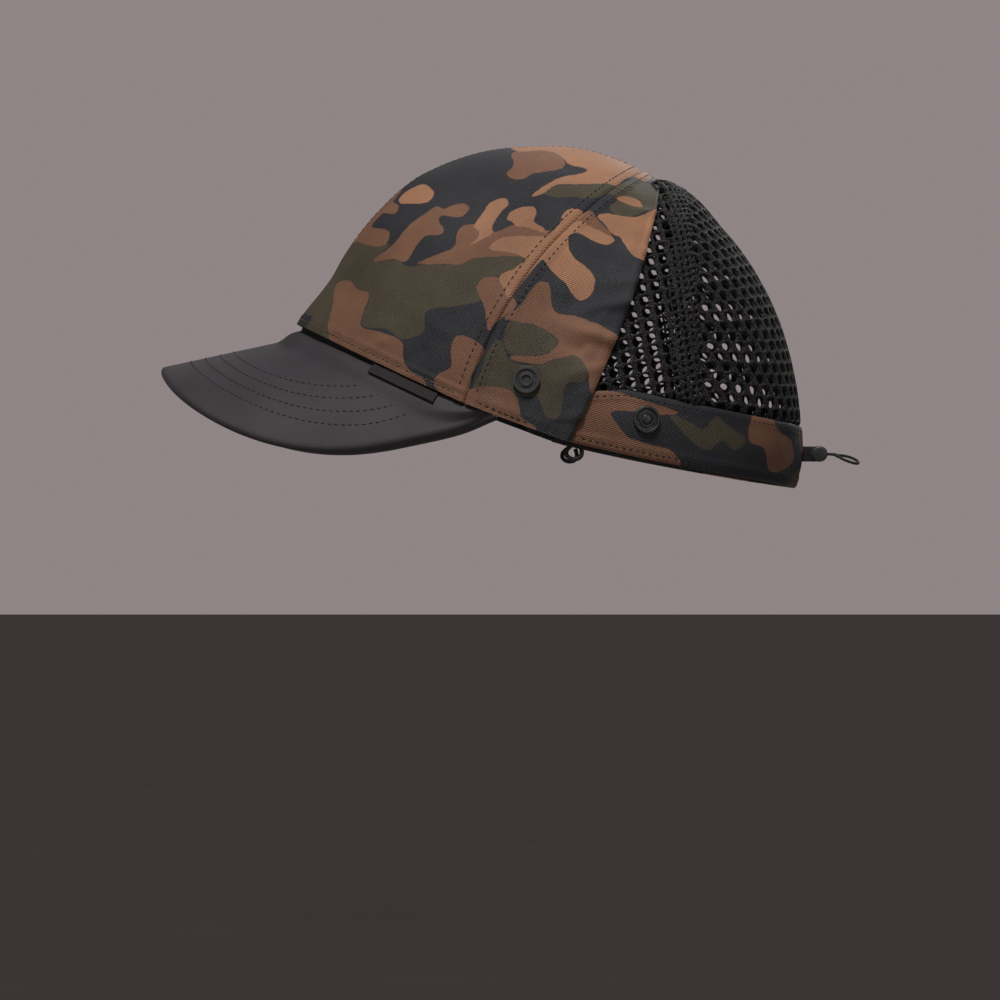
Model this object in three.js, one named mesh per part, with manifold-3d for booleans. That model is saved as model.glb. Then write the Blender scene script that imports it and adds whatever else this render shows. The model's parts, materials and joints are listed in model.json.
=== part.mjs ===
// A camouflage field cap: cloth front, open mesh back, curved visor, rear drawcord and four snaps.
// Millimetres, +Z up. The visor points along -X, the wearer's left is -Y, and the origin is the
// centre of the head opening. Crown pieces are drawn in a frame whose XY plane is the rim.

import * as THREE from 'three';
import { mergeVertices } from 'three/addons/utils/BufferGeometryUtils.js';
import Module from 'manifold-3d';

const wasm = await Module();
wasm.setup();

const { degToRad, radToDeg, smoothstep, clamp, lerp } = THREE.MathUtils;

// ---------------------------------------------------------------- driving dimensions

// Crown, measured on the outside of the cloth
const RIM_LENGTH = 209.2;
const RIM_WIDTH = 160;
const CROWN_HEIGHT = 102.4;
const CROWN_SQUARENESS = 2.1;
const FRONT_NARROWING = 0.08;
const RIM_TILT = 18.2;
const HEM_DIP = 12.3;
const HEM_DIP_POWER = 1.35;

// How full the centre line is against a plain ellipse, from the back (0) over the top to the front (180)
const CROWN_FULLNESS = [
  [-90, 1], [0, 1], [13, 0.977], [27, 0.958], [45, 0.958], [60, 0.97], [74, 0.983],
  [82, 0.981], [90, 0.998], [105, 1.01], [120, 1.014], [135, 1.012], [150, 0.985],
  [160, 0.965], [168, 0.957], [180, 1], [270, 1],
];

// Cloth, mesh and tapes
const CLOTH = 0.6;
const MESH_THICKNESS = 2.4;
const SEAM_GAP = 0.4;
const MESH_SEAM_GAP = 0.8;
const LAYER_GAP = 0.6;
const TAPE = 0.4;
const TAPE_HALF_WIDTH = 4;
const TAPE_SLACK = 0.2;

// Seams, as stations along the rim frame's X against height above it. Stations are shares of the length.
const SEAM_FOOT_STATION = -0.1482 * RIM_LENGTH;
const SEAM_SWEEP = 0.1864 * RIM_LENGTH;
const SEAM_SWEEP_POWER = 2.3;
const SEAM_FOOT_LIFT = 2.5;
const PANEL_REAR_STATION = 0.0607 * RIM_LENGTH;
const PANEL_REAR_BOW = 5.5;
const PANEL_REAR_BOW_TURN = 153;
const PANEL_UNDERLAP = 5;
const PANEL_LAP_RISE = 1.2;
const STRIP_STATION = 0.2796 * RIM_LENGTH;
const STRIP_TOP_STATION = 0.0985 * RIM_LENGTH;
const STRIP_WIDTH = 12;
const STRIP_TOP_WIDTH = 9;
const STRIP_RISE = 0.3;
const BACK_TOP_SHARE = 0.985;
const MESH_END_RISE = 2;

// Rear band with its drawcord casing, and the inner bands
const BAND_WIDTH = 25;
const BAND_FRONT_DIP = 4.5;
const BAND_UNDERLAP = 6;
const CASING_DEPTH = 3;
const INNER_BAND_HEIGHT = 16;
const SWEATBAND_HEIGHT = 26;
const SWEATBAND_THICKNESS = 1;
const LINING = 0.5;

// Visor, a sheet rolled to one radius round an axis that slopes down to the front
const VISOR_ROOT = { x: -0.4751 * RIM_LENGTH, z: 0.1305 * RIM_LENGTH };
const VISOR_SLOPE = 12.2;
const VISOR_REACH = 56;
const VISOR_HALF_WIDTH = 0.4894 * RIM_WIDTH;
const VISOR_SIDE_FALL = 50.4;
const VISOR_RADIUS = (VISOR_HALF_WIDTH ** 2 + VISOR_SIDE_FALL ** 2) / (2 * VISOR_SIDE_FALL);
const VISOR_OVAL_LENGTH = 96;
const VISOR_OVAL_POWER = 3;
const VISOR_TAIL = 0.3346 * RIM_LENGTH;
const VISOR_TAIL_HALF_WIDTH = VISOR_HALF_WIDTH - 2;
const VISOR_TAIL_DROOP = 5;
const VISOR_TAIL_TRIM = 0.5;
const COVER = 0.5;
const VISOR_BOARD = 1.2;

// Snaps: their stations, heights and sizes
const SNAP_SPOTS = { side: { x: -0.0511 * RIM_LENGTH, z: 6.1 }, band: { x: 0.1821 * RIM_LENGTH, z: 6 } };
const SNAP_RADIUS = 5.3;
const SNAP_HEIGHT = 1.7;
const SNAP_POST_RADIUS = 1.5;
const SNAP_BACK_RADIUS = 4.6;
const SNAP_BACK_THICKNESS = 1;

// Pull tab, between hem and visor on the wearer's left
const TAB_FRONT_STATION = -0.3327 * RIM_LENGTH;
const TAB_REAR_STATION = -0.2008 * RIM_LENGTH;
const TAB_THICKNESS = 0.6;
const TAB_REACH = 4.4;

// Ear loops
const EAR_LOOP_STATION = 0.0746 * RIM_LENGTH;
const EAR_LOOP_CORD = 1.8;

// Drawcord and cord lock. The lock is drawn round the point where the cord leaves the band.
const CORD = 1.2;
const CORD_SPACING = CORD + 0.5;
const CORD_EXIT_LIFT = 14;
const CORD_ANCHOR_STATION = 0.2342 * RIM_LENGTH;
const CORD_ANCHOR_LIFT = 9;
const LOCK_BLOCK = { front: 1, halfHeight: 3, left: -3.6, right: 8 };
const LOCK_BARREL = { x: 7.4, radius: 3, left: -4.2, right: 8.5 };
const LOCK_BORE = 2.3;
const LOCK_END_WALL = 1;
const BUTTON_RADIUS = 3.2;
const BUTTON_CAP = 1.5;
const BUTTON_TRAVEL = 2;
const FIT = 0.3;
const SPRING_WIRE = 0.4;
const SPRING_TURNS = 4;
const SPRING_POCKET = { radius: 1.5, start: 2.7 };

// ---------------------------------------------------------------- materials

function finish(color, roughness, metalness = 0) {
  return new THREE.MeshStandardMaterial({ color, roughness, metalness });
}

const CAMO = finish(0x6b4a35, 0.72);
const CAMO_DARK = finish(0x4d4636, 0.72);
const BLACK_CLOTH = finish(0x1b1b1f, 0.6);
const BLACK_MESH = finish(0x141414, 0.85);
const BLACK_TAPE = finish(0x202022, 0.9);
const BOARD = finish(0xd8d8d4, 0.5);
const SNAP_RESIN = finish(0x1a1b1d, 0.35);
const CORD_BLACK = finish(0x161616, 0.8);
const LOCK_RESIN = finish(0x18191b, 0.42);
const STEEL = finish(0xb4b6b8, 0.3, 1);

// ---------------------------------------------------------------- solids

// Turns a closed box or lathe into an indexed solid whose faces point out
function solid(geometry) {
  geometry.deleteAttribute('normal');
  geometry.deleteAttribute('uv');
  const merged = mergeVertices(geometry, 1e-4);
  const p = merged.attributes.position;
  const index = merged.index.array;
  const [a, b, c] = [new THREE.Vector3(), new THREE.Vector3(), new THREE.Vector3()];
  const kept = [];
  let volume = 0;
  for (let i = 0; i < index.length; i += 3) {
    const [i0, i1, i2] = [index[i], index[i + 1], index[i + 2]];
    if (i0 === i1 || i1 === i2 || i2 === i0) continue;
    a.fromBufferAttribute(p, i0);
    b.fromBufferAttribute(p, i1);
    c.fromBufferAttribute(p, i2);
    volume += a.dot(b.clone().cross(c));
    kept.push(i0, i1, i2);
  }
  if (volume < 0) kept.reverse();
  merged.setIndex(kept);
  return merged;
}

function toManifold(geometry) {
  const merged = solid(geometry);
  const mesh = new wasm.Mesh({
    numProp: 3,
    vertProperties: new Float32Array(merged.attributes.position.array),
    triVerts: new Uint32Array(merged.index.array),
  });
  return new wasm.Manifold(mesh);
}

function fromManifold(body) {
  const mesh = body.getMesh();
  const geometry = new THREE.BufferGeometry();
  geometry.setAttribute('position', new THREE.BufferAttribute(new Float32Array(mesh.vertProperties), 3));
  geometry.setIndex(Array.from(mesh.triVerts));
  return geometry;
}

// A sheet with thickness: place(u, v, depth) bends a unit box, depth running from 0 outside inwards
function sheet(columns, rows, thickness, place) {
  const geometry = new THREE.BoxGeometry(1, 1, 1, columns, rows, 1);
  const p = geometry.attributes.position;
  for (let i = 0; i < p.count; i += 1) {
    const depth = p.getZ(i) > 0 ? 0 : thickness;
    const spot = place(p.getX(i) + 0.5, p.getY(i) + 0.5, depth);
    p.setXYZ(i, spot.x, spot.y, spot.z);
  }
  return solid(geometry);
}

// A round cord along a list of points
function cordAlong(points, diameter, steps, sides = 8) {
  const section = new THREE.Shape();
  for (let i = 0; i < sides; i += 1) {
    const turn = (i / sides) * 2 * Math.PI;
    const spot = [Math.cos(turn) * diameter / 2, Math.sin(turn) * diameter / 2];
    if (i === 0) section.moveTo(...spot);
    else section.lineTo(...spot);
  }
  section.closePath();
  const path = new THREE.CatmullRomCurve3(points, false, 'centripetal');
  const geometry = new THREE.ExtrudeGeometry(section, { steps, extrudePath: path, curveSegments: 1 });
  return solid(geometry);
}

function lathe(profile, segments = 18) {
  const points = profile.map(([r, y]) => new THREE.Vector2(r, y));
  return new THREE.LatheGeometry(points, segments);
}

function block(x0, x1, y0, y1, z0, z1) {
  const geometry = new THREE.BoxGeometry(x1 - x0, y1 - y0, z1 - z0);
  return geometry.translate((x0 + x1) / 2, (y0 + y1) / 2, (z0 + z1) / 2);
}

function mesh(name, geometry, material) {
  const piece = new THREE.Mesh(geometry, material);
  piece.name = name;
  return piece;
}

// ---------------------------------------------------------------- the crown surface

const halfLength = RIM_LENGTH / 2;
const halfWidth = RIM_WIDTH / 2;
const fullness = new THREE.CubicInterpolant(
  CROWN_FULLNESS.map((row) => row[0]),
  CROWN_FULLNESS.map((row) => row[1]),
  1,
);

function centreLineRadius(x, z) {
  let angle = radToDeg(Math.atan2(z, x));
  if (angle < -90) angle += 360;
  const turn = degToRad(angle);
  const ellipse = 1 / Math.hypot(Math.cos(turn) / halfLength, Math.sin(turn) / CROWN_HEIGHT);
  return ellipse * fullness.evaluate(angle)[0];
}

// 1 on the crown, less inside, more outside
function crownMeasure(p) {
  const along = Math.hypot(p.x, p.z) / centreLineRadius(p.x, p.z);
  const width = halfWidth * (1 + FRONT_NARROWING * p.x / Math.max(p.length(), 1));
  const across = Math.abs(p.y) / width;
  return (along ** CROWN_SQUARENESS + across ** CROWN_SQUARENESS) ** (1 / CROWN_SQUARENESS);
}

function crownNormal(p) {
  const step = 0.5;
  const slope = ['x', 'y', 'z'].map((axis) => {
    const ahead = p.clone();
    const behind = p.clone();
    ahead[axis] += step;
    behind[axis] -= step;
    return crownMeasure(ahead) - crownMeasure(behind);
  });
  return new THREE.Vector3(...slope).normalize();
}

// The crown point in the direction of p, moved in along the normal by inset
function onCrown(p, inset = 0) {
  const spot = p.clone().divideScalar(crownMeasure(p));
  if (inset === 0) return spot;
  return spot.addScaledVector(crownNormal(spot), -inset);
}

function bisect(low, high, tooHigh) {
  let [a, b] = [low, high];
  for (let i = 0; i < 40; i += 1) {
    const middle = (a + b) / 2;
    if (tooHigh(middle)) b = middle;
    else a = middle;
  }
  return (a + b) / 2;
}

// The crown point seen at station x and height z from the side
function sidePoint(x, z, side) {
  const y = bisect(0, halfWidth * 1.3, (v) => crownMeasure(new THREE.Vector3(x, v, z)) > 1);
  return new THREE.Vector3(x, side * y, z);
}

function hemHeight(x) {
  const share = Math.min(Math.abs(x) / halfLength, 1);
  return -HEM_DIP * (1 - share ** HEM_DIP_POWER);
}

// A point lift above the hem; azimuth 0 is the front, +90 the wearer's left, 180 the back
function rimPoint(azimuth, lift) {
  const turn = degToRad(azimuth);
  let p = new THREE.Vector3(-halfLength * Math.cos(turn), -halfWidth * Math.sin(turn), 0);
  for (let i = 0; i < 6; i += 1) {
    p.z = hemHeight(p.x) + lift;
    p = onCrown(p);
  }
  return p;
}

function azimuthOf(station, lift = 0) {
  return bisect(0, 180, (azimuth) => rimPoint(azimuth, lift).x > station);
}

// An arch from the hem over the top: stationOf(z) is its line from the side, u runs 0 to 1 at the top
function makeArch(stationOf, footLift = 0) {
  const foot = bisect(-30, 60, (z) => z > hemHeight(stationOf(z)) + footAt(footLift, stationOf(z)));
  const top = bisect(60, 140, (z) => crownMeasure(new THREE.Vector3(stationOf(z), 0, z)) > 1);
  return (u, side) => {
    const z = lerp(foot, top, Math.sin(u * Math.PI / 2));
    const p = sidePoint(stationOf(z), z, side);
    if (u > 0.999) p.y = 0;
    return p;
  };
}

function footAt(footLift, station) {
  return typeof footLift === 'function' ? footLift(station) : footLift;
}

// Moves along the crown from a to b
function across(a, b, share) {
  const angle = a.angleTo(b);
  if (angle < 0.01) return a.clone().lerp(b, share);
  const p = a.clone().multiplyScalar(Math.sin((1 - share) * angle));
  return p.addScaledVector(b, Math.sin(share * angle)).divideScalar(Math.sin(angle));
}

// Keeps the left and right halves apart along the centre line
function offCentre(p, u, side) {
  p.y += side * u * SEAM_GAP / 2;
  return p;
}

// ---------------------------------------------------------------- seam lines and edges

const seamHeight = CROWN_HEIGHT - hemHeight(SEAM_FOOT_STATION);

function seamStation(z) {
  const share = clamp((z - hemHeight(SEAM_FOOT_STATION)) / seamHeight, 0, 1.2);
  return SEAM_FOOT_STATION + SEAM_SWEEP * share ** SEAM_SWEEP_POWER;
}

function panelRearStation(z) {
  const share = clamp((z - hemHeight(PANEL_REAR_STATION)) / seamHeight, 0, 1.1);
  return PANEL_REAR_STATION + PANEL_REAR_BOW * Math.sin(share * degToRad(PANEL_REAR_BOW_TURN));
}

function underlap(z) {
  return lerp(PANEL_UNDERLAP, -MESH_SEAM_GAP, smoothstep(z, 50, 75));
}

function stripEdge(z, hand) {
  const width = lerp(STRIP_WIDTH, STRIP_TOP_WIDTH, smoothstep(z, 20, 100));
  return lerp(STRIP_STATION, STRIP_TOP_STATION, z / CROWN_HEIGHT) + hand * width / 2;
}

function bandWidth(x) {
  return BAND_WIDTH - BAND_FRONT_DIP * clamp((28 - x) / 16, 0, 1);
}

// The mesh's turned top end stands proud of the crown
function meshRise(z) {
  return MESH_END_RISE * smoothstep(z, 89, 98);
}

const meshFoot = (x) => bandWidth(x) + LAYER_GAP;
const seamArchFront = makeArch((z) => seamStation(z) - SEAM_GAP / 2, SEAM_FOOT_LIFT);
const seamArchRear = makeArch((z) => seamStation(z) + SEAM_GAP / 2);
const panelRearArch = makeArch(panelRearStation);
const meshFrontArch = makeArch((z) => panelRearStation(z) - underlap(z), meshFoot);
const stripFrontArch = makeArch((z) => stripEdge(z, -1), meshFoot);
const stripRearArch = makeArch((z) => stripEdge(z, 1), meshFoot);
const meshBeforeStripArch = makeArch((z) => stripEdge(z, -1) - MESH_SEAM_GAP, meshFoot);
const meshBehindStripArch = makeArch((z) => stripEdge(z, 1) + MESH_SEAM_GAP, meshFoot);
const footAzimuth = azimuthOf(SEAM_FOOT_STATION - SEAM_GAP / 2);

// ---------------------------------------------------------------- crown panels

const sides = [['left', -1], ['right', 1]];

function crownSheet(columns, rows, thickness, place, insetOf) {
  return sheet(columns, rows, thickness, (u, v, depth) => {
    const p = place(u, v);
    return onCrown(p, insetOf(u, v, p) + depth);
  });
}

function frontPanel(side) {
  const place = (u, v) => {
    const hem = rimPoint((1 - u) * footAzimuth, 0);
    hem.y *= -side;
    return offCentre(across(hem, seamArchFront(u, side), v), u, side);
  };
  return crownSheet(13, 12, CLOTH, place, () => 0);
}

function panelLapRise(v, z) {
  return PANEL_LAP_RISE * smoothstep(v, 0.5, 0.8) * (1 - smoothstep(z, 78, 92));
}

function sidePanel(side) {
  const place = (u, v) => offCentre(across(seamArchRear(u, side), panelRearArch(u, side), v), u, side);
  return crownSheet(18, 8, CLOTH, place, (u, v, p) => -panelLapRise(v, p.z));
}

// A point along the mesh's lower edge, just over the rear band
function meshFootPoint(azimuth) {
  const first = rimPoint(azimuth, BAND_WIDTH);
  return rimPoint(azimuth, meshFoot(first.x));
}

function meshSide(side) {
  const front = meshFrontArch(0, side);
  const rear = meshBeforeStripArch(0, side);
  const start = azimuthOf(front.x, meshFoot(front.x));
  const end = azimuthOf(rear.x, meshFoot(rear.x));
  const place = (u, v) => {
    const p = across(meshFrontArch(u, side), meshBeforeStripArch(u, side), v);
    const foot = meshFootPoint(lerp(start, end, v));
    foot.y *= -side;
    p.addScaledVector(foot.sub(across(front, rear, v)), (1 - u) ** 2);
    return offCentre(p, u, side);
  };
  return crownSheet(16, 6, MESH_THICKNESS, place, (u, v, p) => -meshRise(p.z));
}

function meshStrip(side) {
  const place = (u, v) => {
    return offCentre(across(stripFrontArch(u, side), stripRearArch(u, side), v), u, side);
  };
  return crownSheet(16, 2, MESH_THICKNESS, place, (u, v, p) => -STRIP_RISE - meshRise(p.z));
}

function meshBack() {
  const corner = meshBehindStripArch(0, 1);
  const start = azimuthOf(corner.x, meshFoot(corner.x));
  const bottom = (u) => meshFootPoint(lerp(start, 360 - start, u));
  const left = (v) => meshBehindStripArch(v * BACK_TOP_SHARE, -1);
  const right = (v) => meshBehindStripArch(v * BACK_TOP_SHARE, 1);
  const place = (u, v) => {
    const p = left(v).lerp(right(v), u);
    const foot = bottom(u).sub(left(0).lerp(right(0), u));
    return onCrown(p.addScaledVector(foot, 1 - v));
  };
  return crownSheet(20, 14, MESH_THICKNESS, place, (u, v, p) => -meshRise(p.z));
}

// ---------------------------------------------------------------- frames of the crown and the visor

const crownFrame = new THREE.Group();
crownFrame.rotation.y = degToRad(RIM_TILT);
crownFrame.updateMatrixWorld(true);

const visorFrame = new THREE.Group();
visorFrame.position.set(VISOR_ROOT.x, 0, VISOR_ROOT.z);
visorFrame.rotation.y = degToRad(-VISOR_SLOPE);
visorFrame.updateMatrixWorld(true);

function rimToVisor(p) {
  return visorFrame.worldToLocal(crownFrame.localToWorld(p.clone()));
}

function rimToPart(p) {
  return crownFrame.localToWorld(p.clone());
}

// The visor's two tails droop as they run back along the sides of the head
function visorDroop(x) {
  return VISOR_TAIL_DROOP * smoothstep(x, 15, VISOR_TAIL);
}

// How far a point in the rim frame stands above the visor's upper face
function heightOverVisor(p) {
  const q = rimToVisor(p);
  return Math.hypot(q.y, q.z + visorDroop(q.x) + VISOR_RADIUS) - VISOR_RADIUS;
}

// The lift at which the crown, at this azimuth and inset, stands clear above the visor's upper face
function liftOverVisor(azimuth, inset, clear) {
  return bisect(-30, 40, (lift) => heightOverVisor(onCrown(rimPoint(azimuth, lift), inset)) > clear);
}

// ---------------------------------------------------------------- bands round the rim

const BAND_FRONT_STATION = PANEL_REAR_STATION - BAND_UNDERLAP;
const innerBandInset = CLOTH + LAYER_GAP + TAPE + 0.5;
const sweatbandInset = CASING_DEPTH + LINING + LAYER_GAP;
const bandAzimuth = azimuthOf(BAND_FRONT_STATION);
const innerBandAzimuth = azimuthOf(SNAP_SPOTS.side.x - SNAP_BACK_RADIUS - 3);
const visorTailAzimuth = azimuthOf(VISOR_ROOT.x + 1.15 * VISOR_TAIL);

function ring(columns, rows, thickness, start, end, inset, lowOf, highOf) {
  return sheet(columns, rows, thickness, (u, v, depth) => {
    const azimuth = lerp(start, end, u);
    const x = rimPoint(azimuth, 0).x;
    const lift = lerp(lowOf(azimuth, x), highOf(azimuth, x), v);
    return onCrown(rimPoint(azimuth, lift), inset + depth);
  });
}

// Lower edge of an inner band: just over the visor at the front, just inside the hem at the back
function innerEdge(azimuth, inset) {
  const round = Math.min(Math.abs(azimuth), 360 - Math.abs(azimuth));
  const [near, far] = [visorTailAzimuth + 3, visorTailAzimuth + 9];
  if (round > far) return 0.5;
  const over = Math.min(liftOverVisor(azimuth, inset, 0.8), 10);
  return lerp(over, 0.5, smoothstep(round, near, far));
}

function rearBandCloth() {
  const end = 360 - bandAzimuth;
  return ring(40, 2, CLOTH, bandAzimuth, end, 0, () => 0, (azimuth, x) => bandWidth(x));
}

function rearBandLining() {
  const end = 360 - bandAzimuth;
  return ring(40, 2, LINING, bandAzimuth, end, CASING_DEPTH, () => 0.3, (azimuth, x) => bandWidth(x) - 0.5);
}

function innerFrontBand() {
  const low = (azimuth) => innerEdge(azimuth, innerBandInset + CLOTH);
  const [start, end] = [-innerBandAzimuth, innerBandAzimuth];
  return ring(36, 2, CLOTH, start, end, innerBandInset, low, () => INNER_BAND_HEIGHT);
}

function sweatband() {
  const low = (azimuth) => innerEdge(azimuth, sweatbandInset + SWEATBAND_THICKNESS);
  const gap = 0.2;
  return ring(60, 2, SWEATBAND_THICKNESS, -180 + gap, 180 - gap, sweatbandInset, low, () => SWEATBAND_HEIGHT);
}

// ---------------------------------------------------------------- tapes inside the seams

const tapeInset = CLOTH + LAYER_GAP;

function centreSeamTape() {
  const start = rimToAngle(rimPoint(0, INNER_BAND_HEIGHT + 2));
  const end = rimToAngle(new THREE.Vector3(2, 0, CROWN_HEIGHT));
  return sheet(16, 1, TAPE, (u, v, depth) => {
    const angle = lerp(start, end, u);
    const p = new THREE.Vector3(Math.cos(angle), 0, Math.sin(angle)).multiplyScalar(CROWN_HEIGHT);
    p.y = lerp(-TAPE_HALF_WIDTH, TAPE_HALF_WIDTH, v);
    return onCrown(p, tapeInset + TAPE_SLACK + depth);
  });
}

function rimToAngle(p) {
  return Math.atan2(p.z, p.x);
}

function sideSeamTape(side) {
  const low = makeArch((z) => seamStation(z) - TAPE_HALF_WIDTH, 2);
  const high = makeArch((z) => seamStation(z) + TAPE_HALF_WIDTH, 2);
  const place = (u, v) => across(low(u * 0.93, side), high(u * 0.93, side), v);
  return crownSheet(16, 1, TAPE, place, () => tapeInset);
}

// ---------------------------------------------------------------- visor

const rootInset = sweatbandInset + SWEATBAND_THICKNESS - 0.6;

// A point of the visor sheet: x along it, y across its chord, depth below its upper face
function visorPoint(x, y, depth) {
  const roll = Math.asin(clamp(y / VISOR_RADIUS, -1, 1));
  const r = VISOR_RADIUS - depth;
  return new THREE.Vector3(x, r * Math.sin(roll), r * Math.cos(roll) - VISOR_RADIUS - visorDroop(x));
}

// The edge of each drooping tail is cut in, so that it still runs straight up to the hem
function visorOutline() {
  const centre = VISOR_OVAL_LENGTH - VISOR_REACH;
  const power = 2 / VISOR_OVAL_POWER;
  const points = [];
  const addTrimmed = (x, y) => points.push(new THREE.Vector3(x, y - VISOR_TAIL_TRIM * visorDroop(x), 0));
  for (let turn = 0; turn <= 90; turn += 3) {
    const x = centre - VISOR_OVAL_LENGTH * Math.cos(degToRad(turn)) ** power;
    addTrimmed(x, VISOR_HALF_WIDTH * Math.sin(degToRad(turn)) ** power);
  }
  addTrimmed(VISOR_TAIL - 14, VISOR_HALF_WIDTH - 0.3);
  addTrimmed(VISOR_TAIL, VISOR_TAIL_HALF_WIDTH);
  const left = points.slice(1).map((p) => new THREE.Vector3(p.x, -p.y, 0)).reverse();
  return new THREE.CatmullRomCurve3([...left, ...points], false, 'centripetal');
}

const outline = visorOutline();

// Where the visor sheet meets the inner bands
function visorRoot(azimuth) {
  const lift = liftOverVisor(azimuth, rootInset, 0);
  return rimToVisor(onCrown(rimPoint(azimuth, lift), rootInset));
}

function visorLayer(top, thickness, rootShare, edgeShare, columns) {
  const start = visorTailAzimuth;
  return sheet(columns, 5, thickness, (u, v, depth) => {
    const root = visorRoot(lerp(start, -start, u));
    const edge = outline.getPointAt(u);
    const share = lerp(rootShare, edgeShare, v);
    const x = lerp(root.x, edge.x, share);
    return visorPoint(x, lerp(root.y, edge.y, share), top + depth);
  });
}

// ---------------------------------------------------------------- snaps

function snapFace(domed) {
  const top = SNAP_HEIGHT;
  const floor = top - 0.6;
  const centre = domed ? 0.9 : 2.1;
  const profile = [
    [0, -CLOTH - LAYER_GAP - SNAP_BACK_THICKNESS],
    [SNAP_POST_RADIUS, -CLOTH - LAYER_GAP - SNAP_BACK_THICKNESS],
    [SNAP_POST_RADIUS, LAYER_GAP],
    [SNAP_RADIUS - 0.3, LAYER_GAP],
    [SNAP_RADIUS, LAYER_GAP + 0.3],
    [SNAP_RADIUS, top - 0.3],
    [SNAP_RADIUS - 0.3, top],
    [SNAP_RADIUS - 1.2, top],
    [SNAP_RADIUS - 1.5, floor],
    [centre + 0.3, floor],
    [centre, top + 0.1],
    [1.1, top + 0.1],
    [1, floor - 0.2],
    [0, floor - 0.2],
  ];
  const solidCentre = [...profile.slice(0, 11), [0, top + 0.1]];
  return lathe(domed ? solidCentre : profile).rotateX(Math.PI / 2);
}

function snapBack() {
  const near = -CLOTH - LAYER_GAP;
  const far = near - SNAP_BACK_THICKNESS;
  const hole = SNAP_POST_RADIUS + FIT;
  const profile = [
    [hole, near], [SNAP_BACK_RADIUS - 0.2, near], [SNAP_BACK_RADIUS, near - 0.2],
    [SNAP_BACK_RADIUS, far + 0.2], [SNAP_BACK_RADIUS - 0.2, far], [hole, far], [hole, near],
  ];
  return lathe(profile).rotateX(Math.PI / 2);
}

function snapFrame(spot, side) {
  const p = sidePoint(spot.x, spot.z, side);
  const turn = new THREE.Quaternion().setFromUnitVectors(new THREE.Vector3(0, 0, 1), crownNormal(p));
  return { p, turn };
}

// Punches the hole that a snap's post passes through
function punch(geometry, spot, side) {
  const { p, turn } = snapFrame(spot, side);
  const drill = new THREE.CylinderGeometry(SNAP_POST_RADIUS + FIT, SNAP_POST_RADIUS + FIT, 8, 20);
  drill.rotateX(Math.PI / 2).applyQuaternion(turn).translate(p.x, p.y, p.z);
  return fromManifold(toManifold(geometry).subtract(toManifold(drill)));
}

function addSnap(place, handName, side) {
  const { p, turn } = snapFrame(SNAP_SPOTS[place], side);
  const pieces = [
    mesh(`snap_face_${place}_${handName}`, solid(snapFace(place === 'band')), SNAP_RESIN),
    mesh(`snap_back_${place}_${handName}`, solid(snapBack()), SNAP_RESIN),
  ];
  for (const piece of pieces) {
    piece.position.copy(p);
    piece.quaternion.copy(turn);
    crownFrame.add(piece);
  }
}

// ---------------------------------------------------------------- pull tab and ear loops

function pullTab() {
  const start = azimuthOf(TAB_FRONT_STATION);
  const end = azimuthOf(TAB_REAR_STATION);
  return sheet(8, 3, TAB_THICKNESS, (u, v, depth) => {
    const lift = lerp(-FIT - 0.2, -TAB_REACH, v) - depth * 0.7;
    const inset = lerp(0.8, -2.6, v) + depth * 0.7;
    return onCrown(rimPoint(lerp(start, end, u), lift), inset);
  });
}

const EAR_LOOP_SHAPE = [
  [-1.3, 0], [-2.4, 1.6], [-3, 3.2], [-2.4, 4.9], [0, 5.8], [2.4, 4.9], [3, 3.2], [2.4, 1.6], [1.3, 0],
];

function earLoop(side) {
  const azimuth = azimuthOf(EAR_LOOP_STATION);
  const inset = CLOTH + LAYER_GAP + EAR_LOOP_CORD / 2;
  const root = onCrown(rimPoint(azimuth, -FIT - 0.2), inset);
  const ahead = onCrown(rimPoint(azimuth + 1, -FIT - 0.2), inset).sub(root).normalize();
  const points = EAR_LOOP_SHAPE.map(([along, down]) => {
    const p = root.clone().addScaledVector(ahead, along);
    p.z -= down;
    p.y *= -side;
    return p;
  });
  return cordAlong(points, EAR_LOOP_CORD, 16);
}

// ---------------------------------------------------------------- drawcord and cord lock

const cordInset = CASING_DEPTH / 2 + CLOTH / 2;
const cordExit = rimToPart(rimPoint(180, CORD_EXIT_LIFT));

const lockFrame = new THREE.Group();
lockFrame.position.copy(cordExit);

// The cord inside the band, from its sewn end beside the snap to the middle of the back
function casingCord(side) {
  const start = azimuthOf(CORD_ANCHOR_STATION);
  const besideExit = CORD_SPACING / 2 + CORD;
  const end = bisect(90, 180, (azimuth) => Math.abs(rimPoint(azimuth, CORD_EXIT_LIFT).y) < besideExit);
  const points = [];
  for (let i = 0; i <= 12; i += 1) {
    const lift = lerp(CORD_ANCHOR_LIFT, CORD_EXIT_LIFT, smoothstep(i / 12, 0, 1));
    const p = onCrown(rimPoint(lerp(start, end, i / 12), lift), cordInset);
    p.y *= -side;
    points.push(p);
  }
  return cordAlong(points, CORD, 24);
}

// Half of the free loop: distance behind the band, half the spread, drop
const TAIL_HALF = [
  [-1.6, 0.85, 0], [0, 0.85, 0], [4, 0.85, 0], [8, 0.85, 0], [11, 0.85, -0.05], [13.5, 0.88, -0.2],
  [15.5, 1.5, -0.9], [17.5, 2.4, -1.5], [19.5, 2.95, -2.1], [21.3, 2.75, -2.7], [22.7, 1.75, -3.2],
];
const TAIL_TIP = [23.3, 0, -3.4];
const TAIL_TWIST = 20;

function tailPoint([x, spread, drop], side) {
  const twist = degToRad(TAIL_TWIST) * smoothstep(x, 11, 18);
  const y = side * spread * Math.cos(twist);
  return new THREE.Vector3(x, y, drop + side * spread * Math.sin(twist));
}

function cordTail() {
  const near = TAIL_HALF.map((row) => tailPoint(row, -1));
  const far = TAIL_HALF.map((row) => tailPoint(row, 1)).reverse();
  return cordAlong([...near, tailPoint(TAIL_TIP, 1), ...far], CORD, 44);
}

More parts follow.
